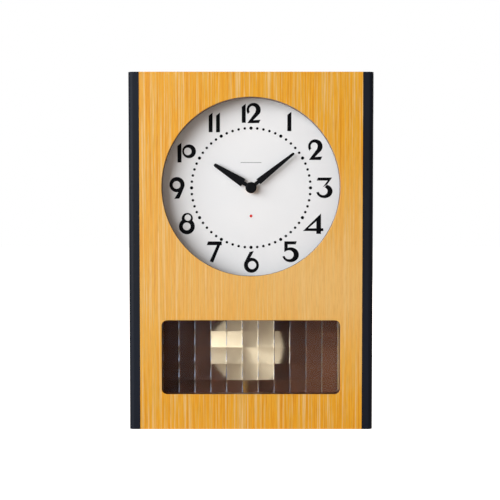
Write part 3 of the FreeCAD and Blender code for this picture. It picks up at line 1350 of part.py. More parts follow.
for item in doc.Objects:
    if "Invalid" in item.State or "Error" in item.State:
        raise RuntimeError(f"{item.Name} ({item.Label}) failed: {item.State}")
for item in nodes:
    if item.Shape.isNull() or not item.Shape.isValid() or not item.Shape.Solids:
        raise RuntimeError(f"{item.Label} has no valid shape")

os.makedirs("parts", exist_ok=True)
for item in nodes:
    item.Shape.exportStep(f"parts/{item.Label}.step")
print(len(nodes), "nodes")
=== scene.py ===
import json
import math

import bpy
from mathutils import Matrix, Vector
from mathutils.geometry import delaunay_2d_cdt


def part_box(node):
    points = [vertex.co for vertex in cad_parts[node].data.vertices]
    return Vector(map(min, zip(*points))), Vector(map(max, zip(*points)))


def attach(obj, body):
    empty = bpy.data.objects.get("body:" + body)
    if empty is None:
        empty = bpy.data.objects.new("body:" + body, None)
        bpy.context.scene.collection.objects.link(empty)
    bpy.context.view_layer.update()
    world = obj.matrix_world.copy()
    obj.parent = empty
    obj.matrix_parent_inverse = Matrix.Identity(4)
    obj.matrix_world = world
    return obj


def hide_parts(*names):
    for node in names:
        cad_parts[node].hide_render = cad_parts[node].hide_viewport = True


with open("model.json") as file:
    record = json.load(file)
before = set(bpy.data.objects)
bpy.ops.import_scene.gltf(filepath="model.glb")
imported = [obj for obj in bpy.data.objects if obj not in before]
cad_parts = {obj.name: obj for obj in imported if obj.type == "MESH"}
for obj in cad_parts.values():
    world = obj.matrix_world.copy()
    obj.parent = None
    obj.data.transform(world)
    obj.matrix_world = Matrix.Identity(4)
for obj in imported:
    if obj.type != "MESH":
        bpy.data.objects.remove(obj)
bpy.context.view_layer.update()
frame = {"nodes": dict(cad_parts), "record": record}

MM = 0.001
WHITE = (1, 1, 1, 1)
scene = bpy.context.scene


def middle(box):
    """The middle of a box that is given by its two corners."""
    return tuple((low + high) / 2 for low, high in zip(*box))


PANEL_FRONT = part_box("front_panel")[0][1]
DIAL_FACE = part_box("dial_plate")[0][1]
AXIS_Z = next(joint["pos_m"][2] for joint in frame["record"]["behaviour"]["joints"]
              if joint["name"] == "minute_turn")

# The window glass: upright flutes on its front, level ones on its back.
FLUTE_X = 16.0 * MM
FLUTE_Z = 16.5 * MM
FIRST_X = -8.7 * MM
FIRST_Z = 47.7 * MM
FLUTE_RADIUS = 25.0 * MM
GROOVE_HALF = 0.7 * MM
GROOVE_CORE = 0.2 * MM
GROOVE_DEPTH = 0.55 * MM

# ---------------------------------------------------------------- shaders


def srgb(red, green, blue):
    """A linear colour from 0-255 display values."""
    def linear(value):
        value /= 255
        return value / 12.92 if value <= 0.04045 else ((value + 0.055) / 1.055) ** 2.4
    return linear(red), linear(green), linear(blue), 1.0


class Shader:
    """A material under construction: a Principled shader and the nodes that feed it."""

    NOISE_RANGE = (0.3, 0.7)  # noise seldom leaves this range
    MIX_INPUTS = (0, 6, 7)  # a colour Mix node's factor, first and second colour
    MIX_RESULT = 2

    def __init__(self, name, **values):
        self.material = bpy.data.materials.new(name)
        self.material.use_nodes = True
        self.tree = self.material.node_tree
        self.surface = self.tree.nodes["Principled BSDF"]
        self.output = self.tree.nodes["Material Output"]
        for socket, value in values.items():
            self.surface.inputs[socket.replace("_", " ")].default_value = value
        self.place = self.node("ShaderNodeTexCoord").outputs["Object"]

    def connect(self, item, socket, value):
        if isinstance(value, bpy.types.NodeSocket):
            self.tree.links.new(value, item.inputs[socket])
        else:
            item.inputs[socket].default_value = value

    def node(self, kind, inputs=None, **settings):
        item = self.tree.nodes.new(kind)
        for setting, value in settings.items():
            setattr(item, setting, value)
        for socket, value in (inputs or {}).items():
            self.connect(item, socket, value)
        return item

    def feed(self, socket, source):
        self.tree.links.new(source, self.surface.inputs[socket])

    def finish_with(self, surface):
        """Makes this the surface that the material shows."""
        self.tree.links.new(surface, self.output.inputs["Surface"])

    # patterns

    def axes(self):
        """The object coordinates in metres, as X, Y and Z."""
        return self.node("ShaderNodeSeparateXYZ", {0: self.place}).outputs

    def stretched(self, scale, shift=(0, 0, 0)):
        """Object coordinates in metres, scaled and shifted."""
        inputs = {"Vector": self.place, "Scale": scale, "Location": shift}
        return self.node("ShaderNodeMapping", inputs).outputs[0]

    def noise(self, scale, detail=2.0, rough=0.5, shift=(0, 0, 0), warp=0.0):
        """Noise whose cells measure 1/scale metres, with one scale or one for each axis."""
        scales = scale if isinstance(scale, tuple) else (scale,) * 3
        return self.node("ShaderNodeTexNoise", {
            "Vector": self.stretched(scales, shift), "Scale": 1.0,
            "Detail": detail, "Roughness": rough, "Distortion": warp}).outputs["Fac"]

    # numbers

    def math(self, operation, first, second=0.0):
        return self.node("ShaderNodeMath", {0: first, 1: second}, operation=operation).outputs[0]

    def product(self, first, *others):
        for other in others:
            first = self.math("MULTIPLY", first, other)
        return first

    def weighted(self, first, second, share):
        """The first value by its share, and the second by the rest."""
        return self.math("ADD", self.product(first, share), self.product(second, 1 - share))

    def mapped(self, value, start, end, low=0.0, high=1.0):
        """The value's range from start to end spread from low to high, and held at both ends."""
        inputs = {"Value": value, "From Min": start, "From Max": end, "To Min": low, "To Max": high}
        return self.node("ShaderNodeMapRange", inputs).outputs["Result"]

    def grey(self, factor, low, high):
        """Noise spread between two values."""
        return self.mapped(factor, *self.NOISE_RANGE, low, high)

    # colours

    def ramp(self, factor, *stops):
        """A colour ramp through (position, colour) stops."""
        item = self.node("ShaderNodeValToRGB", {"Fac": factor})
        elements = item.color_ramp.elements
        while len(elements) < len(stops):
            elements.new(1.0)
        for element, (position, colour) in zip(elements, stops):
            element.position = position
            element.color = colour
        return item.outputs["Color"]

    def blend(self, factor, first, second, mode="MIX"):
        item = self.node("ShaderNodeMix", data_type="RGBA", blend_type=mode)
        for socket, value in zip(self.MIX_INPUTS, (factor, first, second)):
            self.connect(item, socket, value)
        return item.outputs[self.MIX_RESULT]

    def darkened(self, colour, factor, dark, start=0.35, end=0.6, share=1.0):
        """The colour, multiplied by the dark one where the factor is low."""
        return self.blend(share, colour, self.ramp(factor, (start, dark), (end, WHITE)), "MULTIPLY")

    # relief and finish

    def bumped(self, height, distance, strength=1.0, under=None):
        inputs = {"Height": height, "Distance": distance, "Strength": strength}
        if under:
            inputs["Normal"] = under
        return self.node("ShaderNodeBump", inputs).outputs["Normal"]

    def speckled(self, colour, spread, scale, bump, rough):
        """A plain moulded or painted finish: mottled colour, uneven gloss and a fine bump."""
        mottle = self.noise(scale, detail=4.0, rough=0.6)
        broad = self.noise(scale / 12, shift=(0.3, 0.1, 0.7))
        dark = tuple(part * (1 - spread) for part in colour[:3]) + (1.0,)
        light = tuple(min(1.0, part * (1 + spread)) for part in colour[:3]) + (1.0,)
        self.feed("Base Color", self.ramp(self.weighted(mottle, broad, 0.5), (0.38, dark), (0.62, light)))
        self.feed("Roughness", self.grey(broad, *rough))
        self.feed("Normal", self.bumped(mottle, bump))
        return self.material


# ---------------------------------------------------------------- wood and board

PAINTED_SHEEN_BELOW = (0.03, 0.125)  # the front's painted sheen, a pale band that stands in for the lamp's sheen on the lacquer, fades in over these heights
PAINTED_SHEEN_ABOVE = (0.29, 0.15)  # and out over these
PAINTED_SHEEN_LEFT = (-0.12, -0.02)  # and is weaker to the left
CUT_EDGE = (0.15 * MM, 0.5 * MM)  # the stain on the cut edges sets in over this depth behind the face
EDGE_STAIN = (0.12, 0.055, 0.045, 1)


def veneer():
    """Straight upright grain: soft streaks 1.5 to 5 mm wide, with fine pores between them."""
    shader = Shader("veneer", Coat_Weight=0.25, Coat_Roughness=0.28, Specular_IOR_Level=0.4)
    streak = shader.noise((640, 150, 9), detail=3.0, rough=0.7, warp=0.1)
    wide = shader.noise((210, 60, 3.4), shift=(3.1, 0, 0.4))
    pores = shader.noise((1900, 1900, 60), rough=0.7, shift=(0.7, 0, 0.2))
    patch = shader.noise((9, 9, 7), shift=(5.3, 0, 2.2))
    streaks = shader.ramp(
        shader.weighted(streak, wide, 0.8),
        (0.38, srgb(226, 146, 8)),
        (0.45, srgb(240, 164, 14)),
        (0.50, srgb(239, 172, 38)),
        (0.54, srgb(230, 173, 72)),
        (0.61, srgb(242, 196, 124)),
    )
    place = shader.axes()
    # Painted sheen: a pale band laid into the colour across the front, between the dial and the window,
    # weaker to the left.
    band = shader.product(
        shader.mapped(place["Z"], *PAINTED_SHEEN_BELOW),
        shader.mapped(place["Z"], *PAINTED_SHEEN_ABOVE),
        shader.mapped(place["X"], *PAINTED_SHEEN_LEFT, low=0.35),
        shader.grey(patch, 0.42, 0.82),
    )
    toned = shader.blend(band, streaks, srgb(240, 192, 116))
    grained = shader.darkened(toned, pores, (0.90, 0.85, 0.76, 1), 0.34, 0.50)
    edge = shader.mapped(place["Y"], *(PANEL_FRONT + depth for depth in CUT_EDGE))
    shader.feed("Base Color", shader.blend(edge, grained, EDGE_STAIN, "MULTIPLY"))
    shader.feed("Roughness", shader.grey(streak, 0.46, 0.36))
    under = shader.bumped(streak, 0.06 * MM, 0.5)
    shader.feed("Normal", shader.bumped(pores, 0.03 * MM, 0.6, under))
    return shader.material


def timber(name, along):
    """Plain sawn pine with its grain along one axis (0, 1 or 2)."""
    shader = Shader(name, Specular_IOR_Level=0.3, Coat_Roughness=0.3)

    def grain(across, length):
        return tuple(length if axis == along else across for axis in range(3))

    rings = shader.noise(grain(240, 5), warp=0.4)
    fibre = shader.noise(grain(1500, 30), rough=0.6)
    broad = shader.noise(grain(45, 2.5), shift=(1.3, 2.1, 0.4))
    tone = shader.ramp(
        shader.weighted(rings, broad, 0.6),
        (0.36, srgb(190, 146, 92)),
        (0.50, srgb(214, 176, 122)),
        (0.62, srgb(228, 194, 144)),
    )
    shader.feed("Base Color", shader.darkened(tone, fibre, (0.82, 0.79, 0.74, 1), share=0.8))
    shader.feed("Roughness", shader.grey(fibre, 0.82, 0.64))
    shader.feed("Normal", shader.bumped(fibre, 0.08 * MM, 0.6))
    return shader.material


def black_lacquer():
    """Thin satin black over wood: the grain still shows as a faint relief."""
    shader = Shader("black_lacquer", Specular_IOR_Level=0.24)
    grain = shader.noise((600, 600, 14), detail=3.0, rough=0.6)
    broad = shader.noise((20, 20, 5), shift=(1.0, 4.0, 2.0))
    shader.feed("Base Color", shader.ramp(broad, (0.35, srgb(6, 12, 24)), (0.65, srgb(10, 18, 33))))
    shader.feed("Roughness", shader.grey(broad, 0.54, 0.62))
    shader.feed("Normal", shader.bumped(grain, 0.035 * MM, 0.45))
    return shader.material


def hardboard():
    """Pressed brown fibre, smooth and slightly shiny, with darker specks."""
    shader = Shader("hardboard", Specular_IOR_Level=0.4)
    fibre = shader.noise(420, detail=5.0, rough=0.7, warp=1.2)
    specks = shader.noise(1400)
    broad = shader.noise(14, shift=(2.0, 1.0, 0.5))
    tone = shader.ramp(
        fibre,
        (0.36, srgb(122, 72, 46)),
        (0.50, srgb(148, 92, 60)),
        (0.64, srgb(168, 110, 76)),
    )
    shaded = shader.darkened(tone, broad, (0.86, 0.84, 0.80, 1), 0.35, 0.65)
    shader.feed("Base Color", shader.darkened(shaded, specks, (0.55, 0.48, 0.42, 1), 0.30, 0.38))
    shader.feed("Roughness", shader.grey(fibre, 0.5, 0.68))
    shader.feed("Normal", shader.bumped(fibre, 0.05 * MM, 0.5))
    return shader.material


# ---------------------------------------------------------------- metal and wire

LATHE_LINES = 2600.0
WIRE_WAVES = 22000.0  # radians per metre, which is a turn of wire every 0.29 mm


def axis_distance(shader, centre):
    """Distance from an axis that runs front to back through centre, in metres."""
    offset = shader.node("ShaderNodeVectorMath", {0: shader.place, 1: centre}, operation="SUBTRACT")
    flat = shader.node("ShaderNodeVectorMath", {0: offset.outputs[0], 1: (1, 0, 1)}, operation="MULTIPLY")
    return shader.node("ShaderNodeVectorMath", {0: flat.outputs[0]}, operation="LENGTH").outputs["Value"]


def turned_brass(name, centre):
    """A disc with fine concentric marks from the lathe, which smear the light into a bow tie."""
    shader = Shader(name, Metallic=1.0, Anisotropic=0.74, Anisotropic_Rotation=0.25)
    lathe = {"W": axis_distance(shader, centre), "Scale": LATHE_LINES, "Detail": 2.0}
    lines = shader.node("ShaderNodeTexNoise", lathe, noise_dimensions="1D").outputs["Fac"]
    broad = shader.noise(30)
    shader.feed("Base Color", shader.ramp(lines, (0.35, srgb(250, 219, 174)), (0.65, srgb(255, 238, 202))))
    shader.feed("Roughness", shader.grey(broad, 0.46, 0.52))
    shader.feed("Tangent", shader.node("ShaderNodeTangent", direction_type="RADIAL", axis="Y").outputs[0])
    shader.feed("Normal", shader.bumped(lines, 0.015 * MM, 0.5))
    return shader.material


def metal(name, dark, light, rough, scale):
    """Plain metal with a slight mottle and fine scratches."""
    shader = Shader(name, Metallic=1.0)
    mottle = shader.noise(scale, detail=3.0, rough=0.6)
    scratch = shader.noise((2600, 2600, 90), rough=0.6, shift=(1, 2, 3))
    shader.feed("Base Color", shader.ramp(mottle, (0.34, dark), (0.66, light)))
    shader.feed("Roughness", shader.grey(mottle, *rough))
    shader.feed("Normal", shader.bumped(scratch, 0.01 * MM, 0.6))
    return shader.material


def winding(name, centre=None):
    """Fine enamelled wire: turns run round x, or spiral about an axis along y when a centre is given."""
    shader = Shader(name, Metallic=0.85, Coat_Weight=0.6, Coat_Roughness=0.15)
    along = axis_distance(shader, centre) if centre else shader.axes()["X"]
    turns = shader.mapped(shader.math("SINE", shader.product(along, WIRE_WAVES)), -1.0, 1.0)
    uneven = shader.noise(500)
    tone = shader.ramp(
        turns,
        (0.10, srgb(96, 44, 22)),
        (0.60, srgb(196, 108, 62)),
        (0.95, srgb(224, 140, 92)),
    )
    shader.feed("Base Color", shader.darkened(tone, uneven, (0.8, 0.76, 0.72, 1)))
    shader.feed("Roughness", shader.grey(uneven, 0.26, 0.38))
    shader.feed("Normal", shader.bumped(turns, 0.06 * MM, 0.8))
    return shader.material


# ---------------------------------------------------------------- plastic, paint and board

BATTERY_BAND = 12 * MM  # height of the paler band at the battery's positive end


def plastic(name, colour, spread=0.06, rough=(0.42, 0.55), bump=0.02 * MM, scale=1500):
    return Shader(name, Specular_IOR_Level=0.45).speckled(colour, spread, scale, bump, rough)


def hand_paint():
    """Satin black paint on the hands and their cap."""
    shader = Shader("hand_black", Specular_IOR_Level=0.12)
    return shader.speckled(srgb(6, 7, 11), 0.2, 2200, 0.01 * MM, (0.42, 0.52))


def ink(name, colour):
    """Screen-printed ink: nearly flat, with the slightest unevenness."""
    return Shader(name, Specular_IOR_Level=0.07).speckled(colour, 0.12, 1800, 0.006 * MM, (0.5, 0.62))


def dial_paint():
    """Matt white print ground on sheet metal."""
    shader = Shader("dial_white", Specular_IOR_Level=0.25)
    tooth = shader.noise(2400, rough=0.6)
    broad = shader.noise(16)
    shader.feed("Base Color", shader.ramp(broad, (0.3, srgb(240, 240, 240)), (0.7, srgb(245, 244, 243))))
    shader.feed("Roughness", shader.grey(broad, 0.6, 0.72))
    shader.feed("Normal", shader.bumped(tooth, 0.012 * MM, 0.5))
    return shader.material


def circuit_board():
    """Green solder mask with the copper tracks showing through it as a paler pattern."""
    shader = Shader("board_green", Coat_Weight=0.5, Coat_Roughness=0.2)
    cells = shader.node("ShaderNodeTexVoronoi", {"Vector": shader.stretched((420, 420, 420)), "Scale": 1.0},
                        distance="CHEBYCHEV", feature="DISTANCE_TO_EDGE").outputs["Distance"]
    mottle = shader.noise(900)
    tracks = shader.ramp(cells, (0.05, srgb(30, 104, 62)), (0.12, srgb(16, 74, 44)))
    shader.feed("Base Color", shader.darkened(tracks, mottle, (0.86, 0.88, 0.84, 1)))
    shader.feed("Roughness", shader.grey(mottle, 0.34, 0.48))
    shader.feed("Normal", shader.bumped(cells, 0.04 * MM, 0.4))
    return shader.material


def battery_sleeve():
    """A plain coloured sleeve with a paler band at its positive end."""
    shader = Shader("battery_label", Metallic=0.3, Coat_Weight=0.6, Coat_Roughness=0.12)
    band_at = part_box("battery_cell")[1][2] - BATTERY_BAND
    banded = shader.math("GREATER_THAN", shader.axes()["Z"], band_at)
    mottle = shader.noise(700, detail=3.0, rough=0.6)
    sleeve = shader.blend(banded, srgb(34, 46, 92), srgb(184, 118, 62))
    shader.feed("Base Color", shader.darkened(sleeve, mottle, (0.88, 0.88, 0.9, 1)))
    shader.feed("Roughness", shader.grey(mottle, 0.28, 0.38))
    shader.feed("Normal", shader.bumped(mottle, 0.01 * MM, 0.5))
    return shader.material


# ---------------------------------------------------------------- glass

FROST_GLINT_LEFT, FROST_GLINT_RIGHT = 0.6, 0.10  # how far the grooves carry frost at the two ends of the span below; the drop from left to right is a painted highlight, stronger towards the key light on the left
PAINTED_GLINT_SPAN = (-0.06, 0.08)
LAMP_TINT = (0.72, 0.74, 0.76, 1)


def window_pane():
    """Clear glass that bends what is seen through it, and that lamps shine straight through.

    The upright grooves carry a little frost, broken into dashes, one to each level flute. This pale bluish
    frost is partly real scatter and partly a painted highlight, painted stronger on the left, where the key
    light stands.
    """
    shader = Shader("patterned_glass", IOR=1.5, Specular_Tint=(0.14, 0.16, 0.2, 1))
    ripple = shader.noise(130)
    place = shader.axes()
    offset = shader.math("SUBTRACT", place["X"], FIRST_X + FLUTE_X / 2)
    from_crest = shader.math("PINGPONG", offset, FLUTE_X / 2)
    in_groove = shader.mapped(from_crest, FLUTE_X / 2 - GROOVE_HALF, FLUTE_X / 2 - GROOVE_CORE)
    below = shader.math("SUBTRACT", FIRST_Z, place["Z"])
    down_flute = shader.math("FRACT", shader.math("DIVIDE", below, FLUTE_Z))
    # Painted highlight: the groove frost is broken into dashes at the level grooves, where the real
    # highlight breaks.
    frost_glint_dash = shader.ramp(
        down_flute,
        (0.00, (0, 0, 0, 1)),
        (0.10, (0.02, 0.02, 0.02, 1)),
        (0.35, (0.5, 0.5, 0.5, 1)),
        (0.75, WHITE),
        (0.84, (0.5, 0.5, 0.5, 1)),
        (0.94, (0, 0, 0, 1)),
    )
    frost_and_glint = shader.product(in_groove, frost_glint_dash)
    # Painted highlight: the frost fades from left to right, brighter towards the key light on the left.
    painted_glint_falloff = shader.mapped(place["X"], *PAINTED_GLINT_SPAN, FROST_GLINT_LEFT, FROST_GLINT_RIGHT)
    # The bluish white where the grooves carry frost is partly a painted highlight.
    tint = shader.ramp(frost_and_glint, (0.0, (0.90, 0.91, 0.93, 1)), (1.0, (0.62, 0.70, 0.88, 1)))
    shader.feed("Base Color", tint)
    shader.feed("Transmission Weight", shader.math("SUBTRACT", 1.0, shader.product(frost_and_glint, painted_glint_falloff)))
    shader.feed("Roughness", shader.grey(ripple, 0.20, 0.25))
    shader.feed("Normal", shader.bumped(ripple, 0.06 * MM, 0.25))
    clear = shader.node("ShaderNodeBsdfTransparent", {"Color": LAMP_TINT})
    lamps = shader.node("ShaderNodeLightPath").outputs["Is Shadow Ray"]
    mix = shader.node("ShaderNodeMixShader", {0: lamps, 1: shader.surface.outputs[0], 2: clear.outputs[0]})
    shader.finish_with(mix.outputs[0])
    return shader.material


# ---------------------------------------------------------------- materials for the CAD nodes

FINISHES = {
    "veneer": veneer(),
    "black_lacquer": black_lacquer(),
    "softwood": timber("softwood_upright", 2),
    "hardboard": hardboard(),
    "dial_white": dial_paint(),
    "hand_black": hand_paint(),
    "dark_spacer": plastic("dark_spacer", srgb(46, 38, 34), 0.2, (0.7, 0.85), 0.06 * MM, 500),
    "bob_gold": turned_brass("bob_gold", middle(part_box("pendulum_bob"))),
    "brass": metal("brass", srgb(208, 152, 72), srgb(238, 190, 108), (0.42, 0.54), 700),
    "steel": metal("steel", srgb(172, 174, 178), srgb(196, 198, 202), (0.28, 0.38), 260),
    "case_plastic": plastic("case_plastic", srgb(64, 64, 67), 0.1, (0.5, 0.64), 0.05 * MM, 900),
    "gear_plastic": plastic("gear_plastic", srgb(232, 230, 220), 0.03),
    "knob_plastic": plastic("knob_plastic", srgb(146, 147, 151)),
    "board_green": circuit_board(),
    "copper_wire": winding("copper_wire"),
    "magnet": plastic("magnet", srgb(78, 78, 82), 0.18, (0.6, 0.75), 0.05 * MM, 1200),
    "battery_label": battery_sleeve(),
}
LEVEL_TIMBER = timber("softwood_level", 0)
OWN_FINISH = {
    "hanging_rail": LEVEL_TIMBER,
    "back_batten_bottom": LEVEL_TIMBER,
    "glass_batten_top": LEVEL_TIMBER,
    "glass_batten_bottom": LEVEL_TIMBER,
    "drive_coil": winding("copper_wire_spiral", middle(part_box("drive_coil"))),
}

for name, item in frame["nodes"].items():
    for slot in item.material_slots:
        finish = slot.material.name.split(".")[0]
        if finish in FINISHES or name in OWN_FINISH:
            slot.material = OWN_FINISH.get(name) or FINISHES[finish]


def piece(name, points, faces, material, smooth=False):
    mesh = bpy.data.meshes.new(name)
    mesh.from_pydata(points, [], faces)
    mesh.validate()
    mesh.materials.append(material)
    if smooth:
        mesh.shade_smooth()
    else:
        mesh.shade_flat()
    item = bpy.data.objects.new(name, mesh)
    scene.collection.objects.link(item)
    return item


# ---------------------------------------------------------------- printed dial

PRINT_THICK = 0.10 * MM
PRINT_SINK = 0.02 * MM
CORNER_MERGE = 1e-4  # corners closer than this, in mm, become one
ARC_STEPS = 44
DISC_STEPS = 24
INK = ink("dial_ink", srgb(4, 4, 8))
RED_INK = ink("dial_ink_red", srgb(222, 44, 40))


def leftward(outline):
    """The outline's corners in anticlockwise order."""
    turns = sum(ax * bz - bx * az for (ax, az), (bx, bz) in zip(outline, outline[1:] + outline[:1]))
    return outline if turns > 0 else outline[::-1]


def merged(shapes):
    """The points, and the cells between them, of the area that the outlines cover together."""
    points, faces = [], []
    for outline in shapes:
        faces.append(list(range(len(points), len(points) + len(outline))))
        points += [Vector(point) for point in leftward(outline)]
    points, _, cells, _, _, sources = delaunay_2d_cdt(points, [], faces, 1, CORNER_MERGE)
    return points, [cell for cell, source in zip(cells, sources) if source]


def printed(name, shapes, material=INK, holes=()):
    """Merges flat outlines, in mm from the dial's centre, into one thin raised print on the dial.

    holes are circles, as (centre, radius), that stay open whatever crosses them.
    """
    points, cells = merged(shapes)

    def inked(cell):
        inside = sum((points[corner] for corner in cell), Vector((0, 0))) / len(cell)
        return all((inside - Vector(centre)).length > radius for centre, radius in holes)

    cells = [cell for cell in cells if inked(cell)]
    count = len(points)
    edges = dict.fromkeys(edge for cell in cells for edge in zip(cell, cell[1:] + cell[:1]))
    rim = [(start, end) for start, end in edges if (end, start) not in edges]
    walls = [(start, start + count, end + count, end) for start, end in rim]
    fronts = [tuple(cell) for cell in cells]
    backs = [tuple(corner + count for corner in reversed(cell)) for cell in cells]
    faces = fronts + backs + walls

    front, back = DIAL_FACE - PRINT_THICK, DIAL_FACE + PRINT_SINK
    solid = [(x * MM, y, AXIS_Z + z * MM) for y in (front, back) for x, z in points]
    used = sorted({corner for face in faces for corner in face})
    renumbered = {corner: index for index, corner in enumerate(used)}
    item = piece(name, [solid[corner] for corner in used],
                 [tuple(renumbered[corner] for corner in face) for face in faces], material)
    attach(item, "case")


def arc_band(centre, outer, inner, shift, start, end):
    """A crescent as short four-sided pieces: outer and inner ellipses, the inner one shifted."""
    def at(core, radii, turn):
        return core[0] + radii[0] * math.cos(turn), core[1] + radii[1] * math.sin(turn)

    inside = (centre[0] + shift[0], centre[1] + shift[1])
    turns = [math.radians(start + (end - start) * i / ARC_STEPS) for i in range(ARC_STEPS + 1)]
    return [
        [at(inside, inner, a), at(centre, outer, a), at(centre, outer, b), at(inside, inner, b)]
        for a, b in zip(turns, turns[1:])
    ]


def ring(centre, outer, inner, shift):
    return arc_band(centre, (outer, outer), (inner, inner), shift, 0, 360)


def disc(centre, radius):
    turns = [math.tau * i / DISC_STEPS for i in range(DISC_STEPS)]
    return [[(centre[0] + radius * math.cos(turn), centre[1] + radius * math.sin(turn)) for turn in turns]]


# Each numeral is a list of outlines in mm, from the lower left corner of the space that it stands in.


def one(width, height):
    slant = 3.2
    return [[(0, 0), (width, 0), (width, height), (0, height - slant)]]


def two():
    bowl = arc_band((7.2, 13.5), (7.25, 7.2), (3.5, 3.75), (-1.15, 0.3), -38, 216)
    slope = [(9.2, 11.4), (12.9, 9.2), (6.4, 2.6), (1.0, 0.5)]
    foot = [(1.0, 0.0), (12.6, 0.0), (14.2, 3.4), (5.0, 2.9), (1.1, 0.6)]
    return bowl + [slope, foot]


def three():
    bowl = arc_band((7.8, 6.9), (8.2, 6.9), (4.5, 4.0), (-1.3, 0.1), -171, 72)
    bar = [(-0.1, 17.7), (13.0, 17.7), (15.5, 20.7), (1.3, 20.7)]
    slope = [(15.5, 20.7), (11.3, 18.0), (6.0, 10.8), (10.4, 13.6)]
    return bowl + [bar, slope]


def four():
    slope = [(-0.9, 2.9), (2.6, 3.9), (17.3, 17.0), (17.3, 20.5)]
    bar = [(-0.9, 2.9), (19.8, 2.9), (19.8, 5.7), (1.9, 5.6)]
    stem = [(12.8, 0.0), (17.4, 0.0), (17.4, 20.5), (12.8, 16.2)]
    return [slope, bar, stem]


def five():
    bowl = arc_band((7.9, 7.5), (8.4, 7.5), (4.7, 4.6), (-1.5, 0.0), -166, 118)
    bar = [(1.6, 18.0), (13.0, 18.0), (14.1, 21.1), (1.6, 21.1)]
    stem = [(1.6, 10.2), (5.0, 12.3), (5.0, 21.0), (1.6, 21.0)]
    return bowl + [bar, stem]


def six():
    stem = [(5.6, 20.9), (0.6, 10.6), (0.1, 8.2), (3.3, 9.0), (5.2, 12.8), (10.0, 22.0)]
    return ring((7.5, 7.5), 7.6, 4.15, (0.7, 0.1)) + [stem]


def seven():
    bar = [(0.0, 17.6), (15.2, 17.6), (15.2, 21.4), (1.3, 21.4)]
    slope = [(3.0, 1.3), (6.4, 0.0), (15.2, 21.4), (10.4, 17.8)]
    return [bar, slope]


EIGHT_HOLES = (((7.8, 7.8), 3.95), ((8.9, 16.6), 3.2))


def eight():
    return ring((8.0, 7.8), 8.0, 3.95, (-0.2, 0.0)) + ring((8.4, 15.8), 5.6, 3.2, (0.5, 0.8))


def nine():
    stem = [(4.7, 0.0), (9.9, 0.4), (14.8, 12.0), (15.0, 14.6), (11.0, 12.6), (10.1, 9.0)]
    return ring((7.5, 14.4), 7.65, 3.9, (-0.4, -0.35)) + [stem]


def nought():
    return ring((6.9, 6.95), 6.9, 3.8, (-1.3, -0.05))


def placed(shapes, left, low, scale=1.0):
    return [[(left + x * scale, low + z * scale) for x, z in outline] for outline in shapes]


EIGHT_AT = (-72.8, -46.6)

printed("numeral_12", placed(one(4.0, 19.2), -9.3, 65.3) + placed(two(), -4.4, 65.0, 0.98))
printed("numeral_1", placed(one(4.0, 19.4), 36.6, 57.0))
printed("numeral_2", placed(two(), 57.6, 28.1))
printed("numeral_3", placed(three(), 66.3, -10.3))
printed("numeral_4", placed(four(), 53.3, -46.4))
printed("numeral_5", placed(five(), 32.1, -75.0))
printed("numeral_6", placed(six(), -7.1, -85.6))
printed("numeral_7", placed(seven(), -44.8, -75.4))
printed("numeral_8", placed(eight(), *EIGHT_AT),
        holes=[((EIGHT_AT[0] + x, EIGHT_AT[1] + z), radius) for (x, z), radius in EIGHT_HOLES])
printed("numeral_9", placed(nine(), -82.2, -11.1))
printed("numeral_10", placed(one(4.0, 19.8), -74.1, 25.6) + placed(nought(), -69.3, 29.8))
printed("numeral_11", placed(one(3.9, 19.7), -42.6, 55.9) + placed(one(3.9, 19.7), -35.2, 55.9))

# The ring of dots, one a minute, and the plain line and spot on the dial, in mm.
DOT_RING = 60.0
MINUTES_TO_HOUR_DOT = 5
HOUR_DOT = 1.65
MINUTE_DOT = 1.3
LINE_HALF = 10.5
LINE_LOW, LINE_HIGH = 25.3, 25.65
SPOT_BELOW = 28.3
SPOT_RADIUS = 1.4


def dots(minutes, radius):
    turns = [math.tau * minute / 60 for minute in minutes]
    return [outline for turn in turns
            for outline in disc((DOT_RING * math.sin(turn), DOT_RING * math.cos(turn)), radius)]


printed("hour_dots", dots([m for m in range(60) if m % MINUTES_TO_HOUR_DOT == 0], HOUR_DOT))
printed("minute_dots", dots([m for m in range(60) if m % MINUTES_TO_HOUR_DOT], MINUTE_DOT))
line = [(-LINE_HALF, LINE_LOW), (LINE_HALF, LINE_LOW), (LINE_HALF, LINE_HIGH), (-LINE_HALF, LINE_HIGH)]
printed("dial_line", [line])
printed("dial_spot", disc((0, -SPOT_BELOW), SPOT_RADIUS), RED_INK)

# ---------------------------------------------------------------- window glass

PANE_FRONT_BACK = 0.15 * MM  # the front's crests lie this far behind the CAD pane's face
PANE_BACK_IN = 0.02 * MM  # and the back's crests this far inside its back
GROOVE_STEPS = 6
CREST_STEPS = 22
SHARP_ANGLE = math.radians(40)


def flute(distance, pitch, groove=0.0):
    """How far the surface lies below a flute's crest, at a distance from the nearest groove's middle."""
    from_crest = pitch / 2 - abs(distance)
    arc = FLUTE_RADIUS - math.sqrt(FLUTE_RADIUS ** 2 - from_crest ** 2)
    if abs(distance) >= GROOVE_HALF:
        return arc
    inward = 1 - abs(distance) / GROOVE_HALF
    return arc + groove * inward * inward * (3 - 2 * inward)


def samples(low, high, first, pitch):
    """Positions for the profile: close together at the grooves, wider over the crests."""
    grooves = [GROOVE_HALF * i / GROOVE_STEPS for i in range(-GROOVE_STEPS, GROOVE_STEPS + 1)]
    crests = [GROOVE_HALF + (pitch - 2 * GROOVE_HALF) * i / CREST_STEPS for i in range(1, CREST_STEPS)]
    places = {low, high}
    index = math.floor((low - first) / pitch) - 1
    while first + index * pitch < high + pitch:
        groove = first + index * pitch
        places |= {groove + step for step in grooves + crests}
        index += 1
    return sorted(place for place in places if low <= place <= high)


def to_groove(value, first, pitch):
    return (value - first + pitch / 2) % pitch - pitch / 2


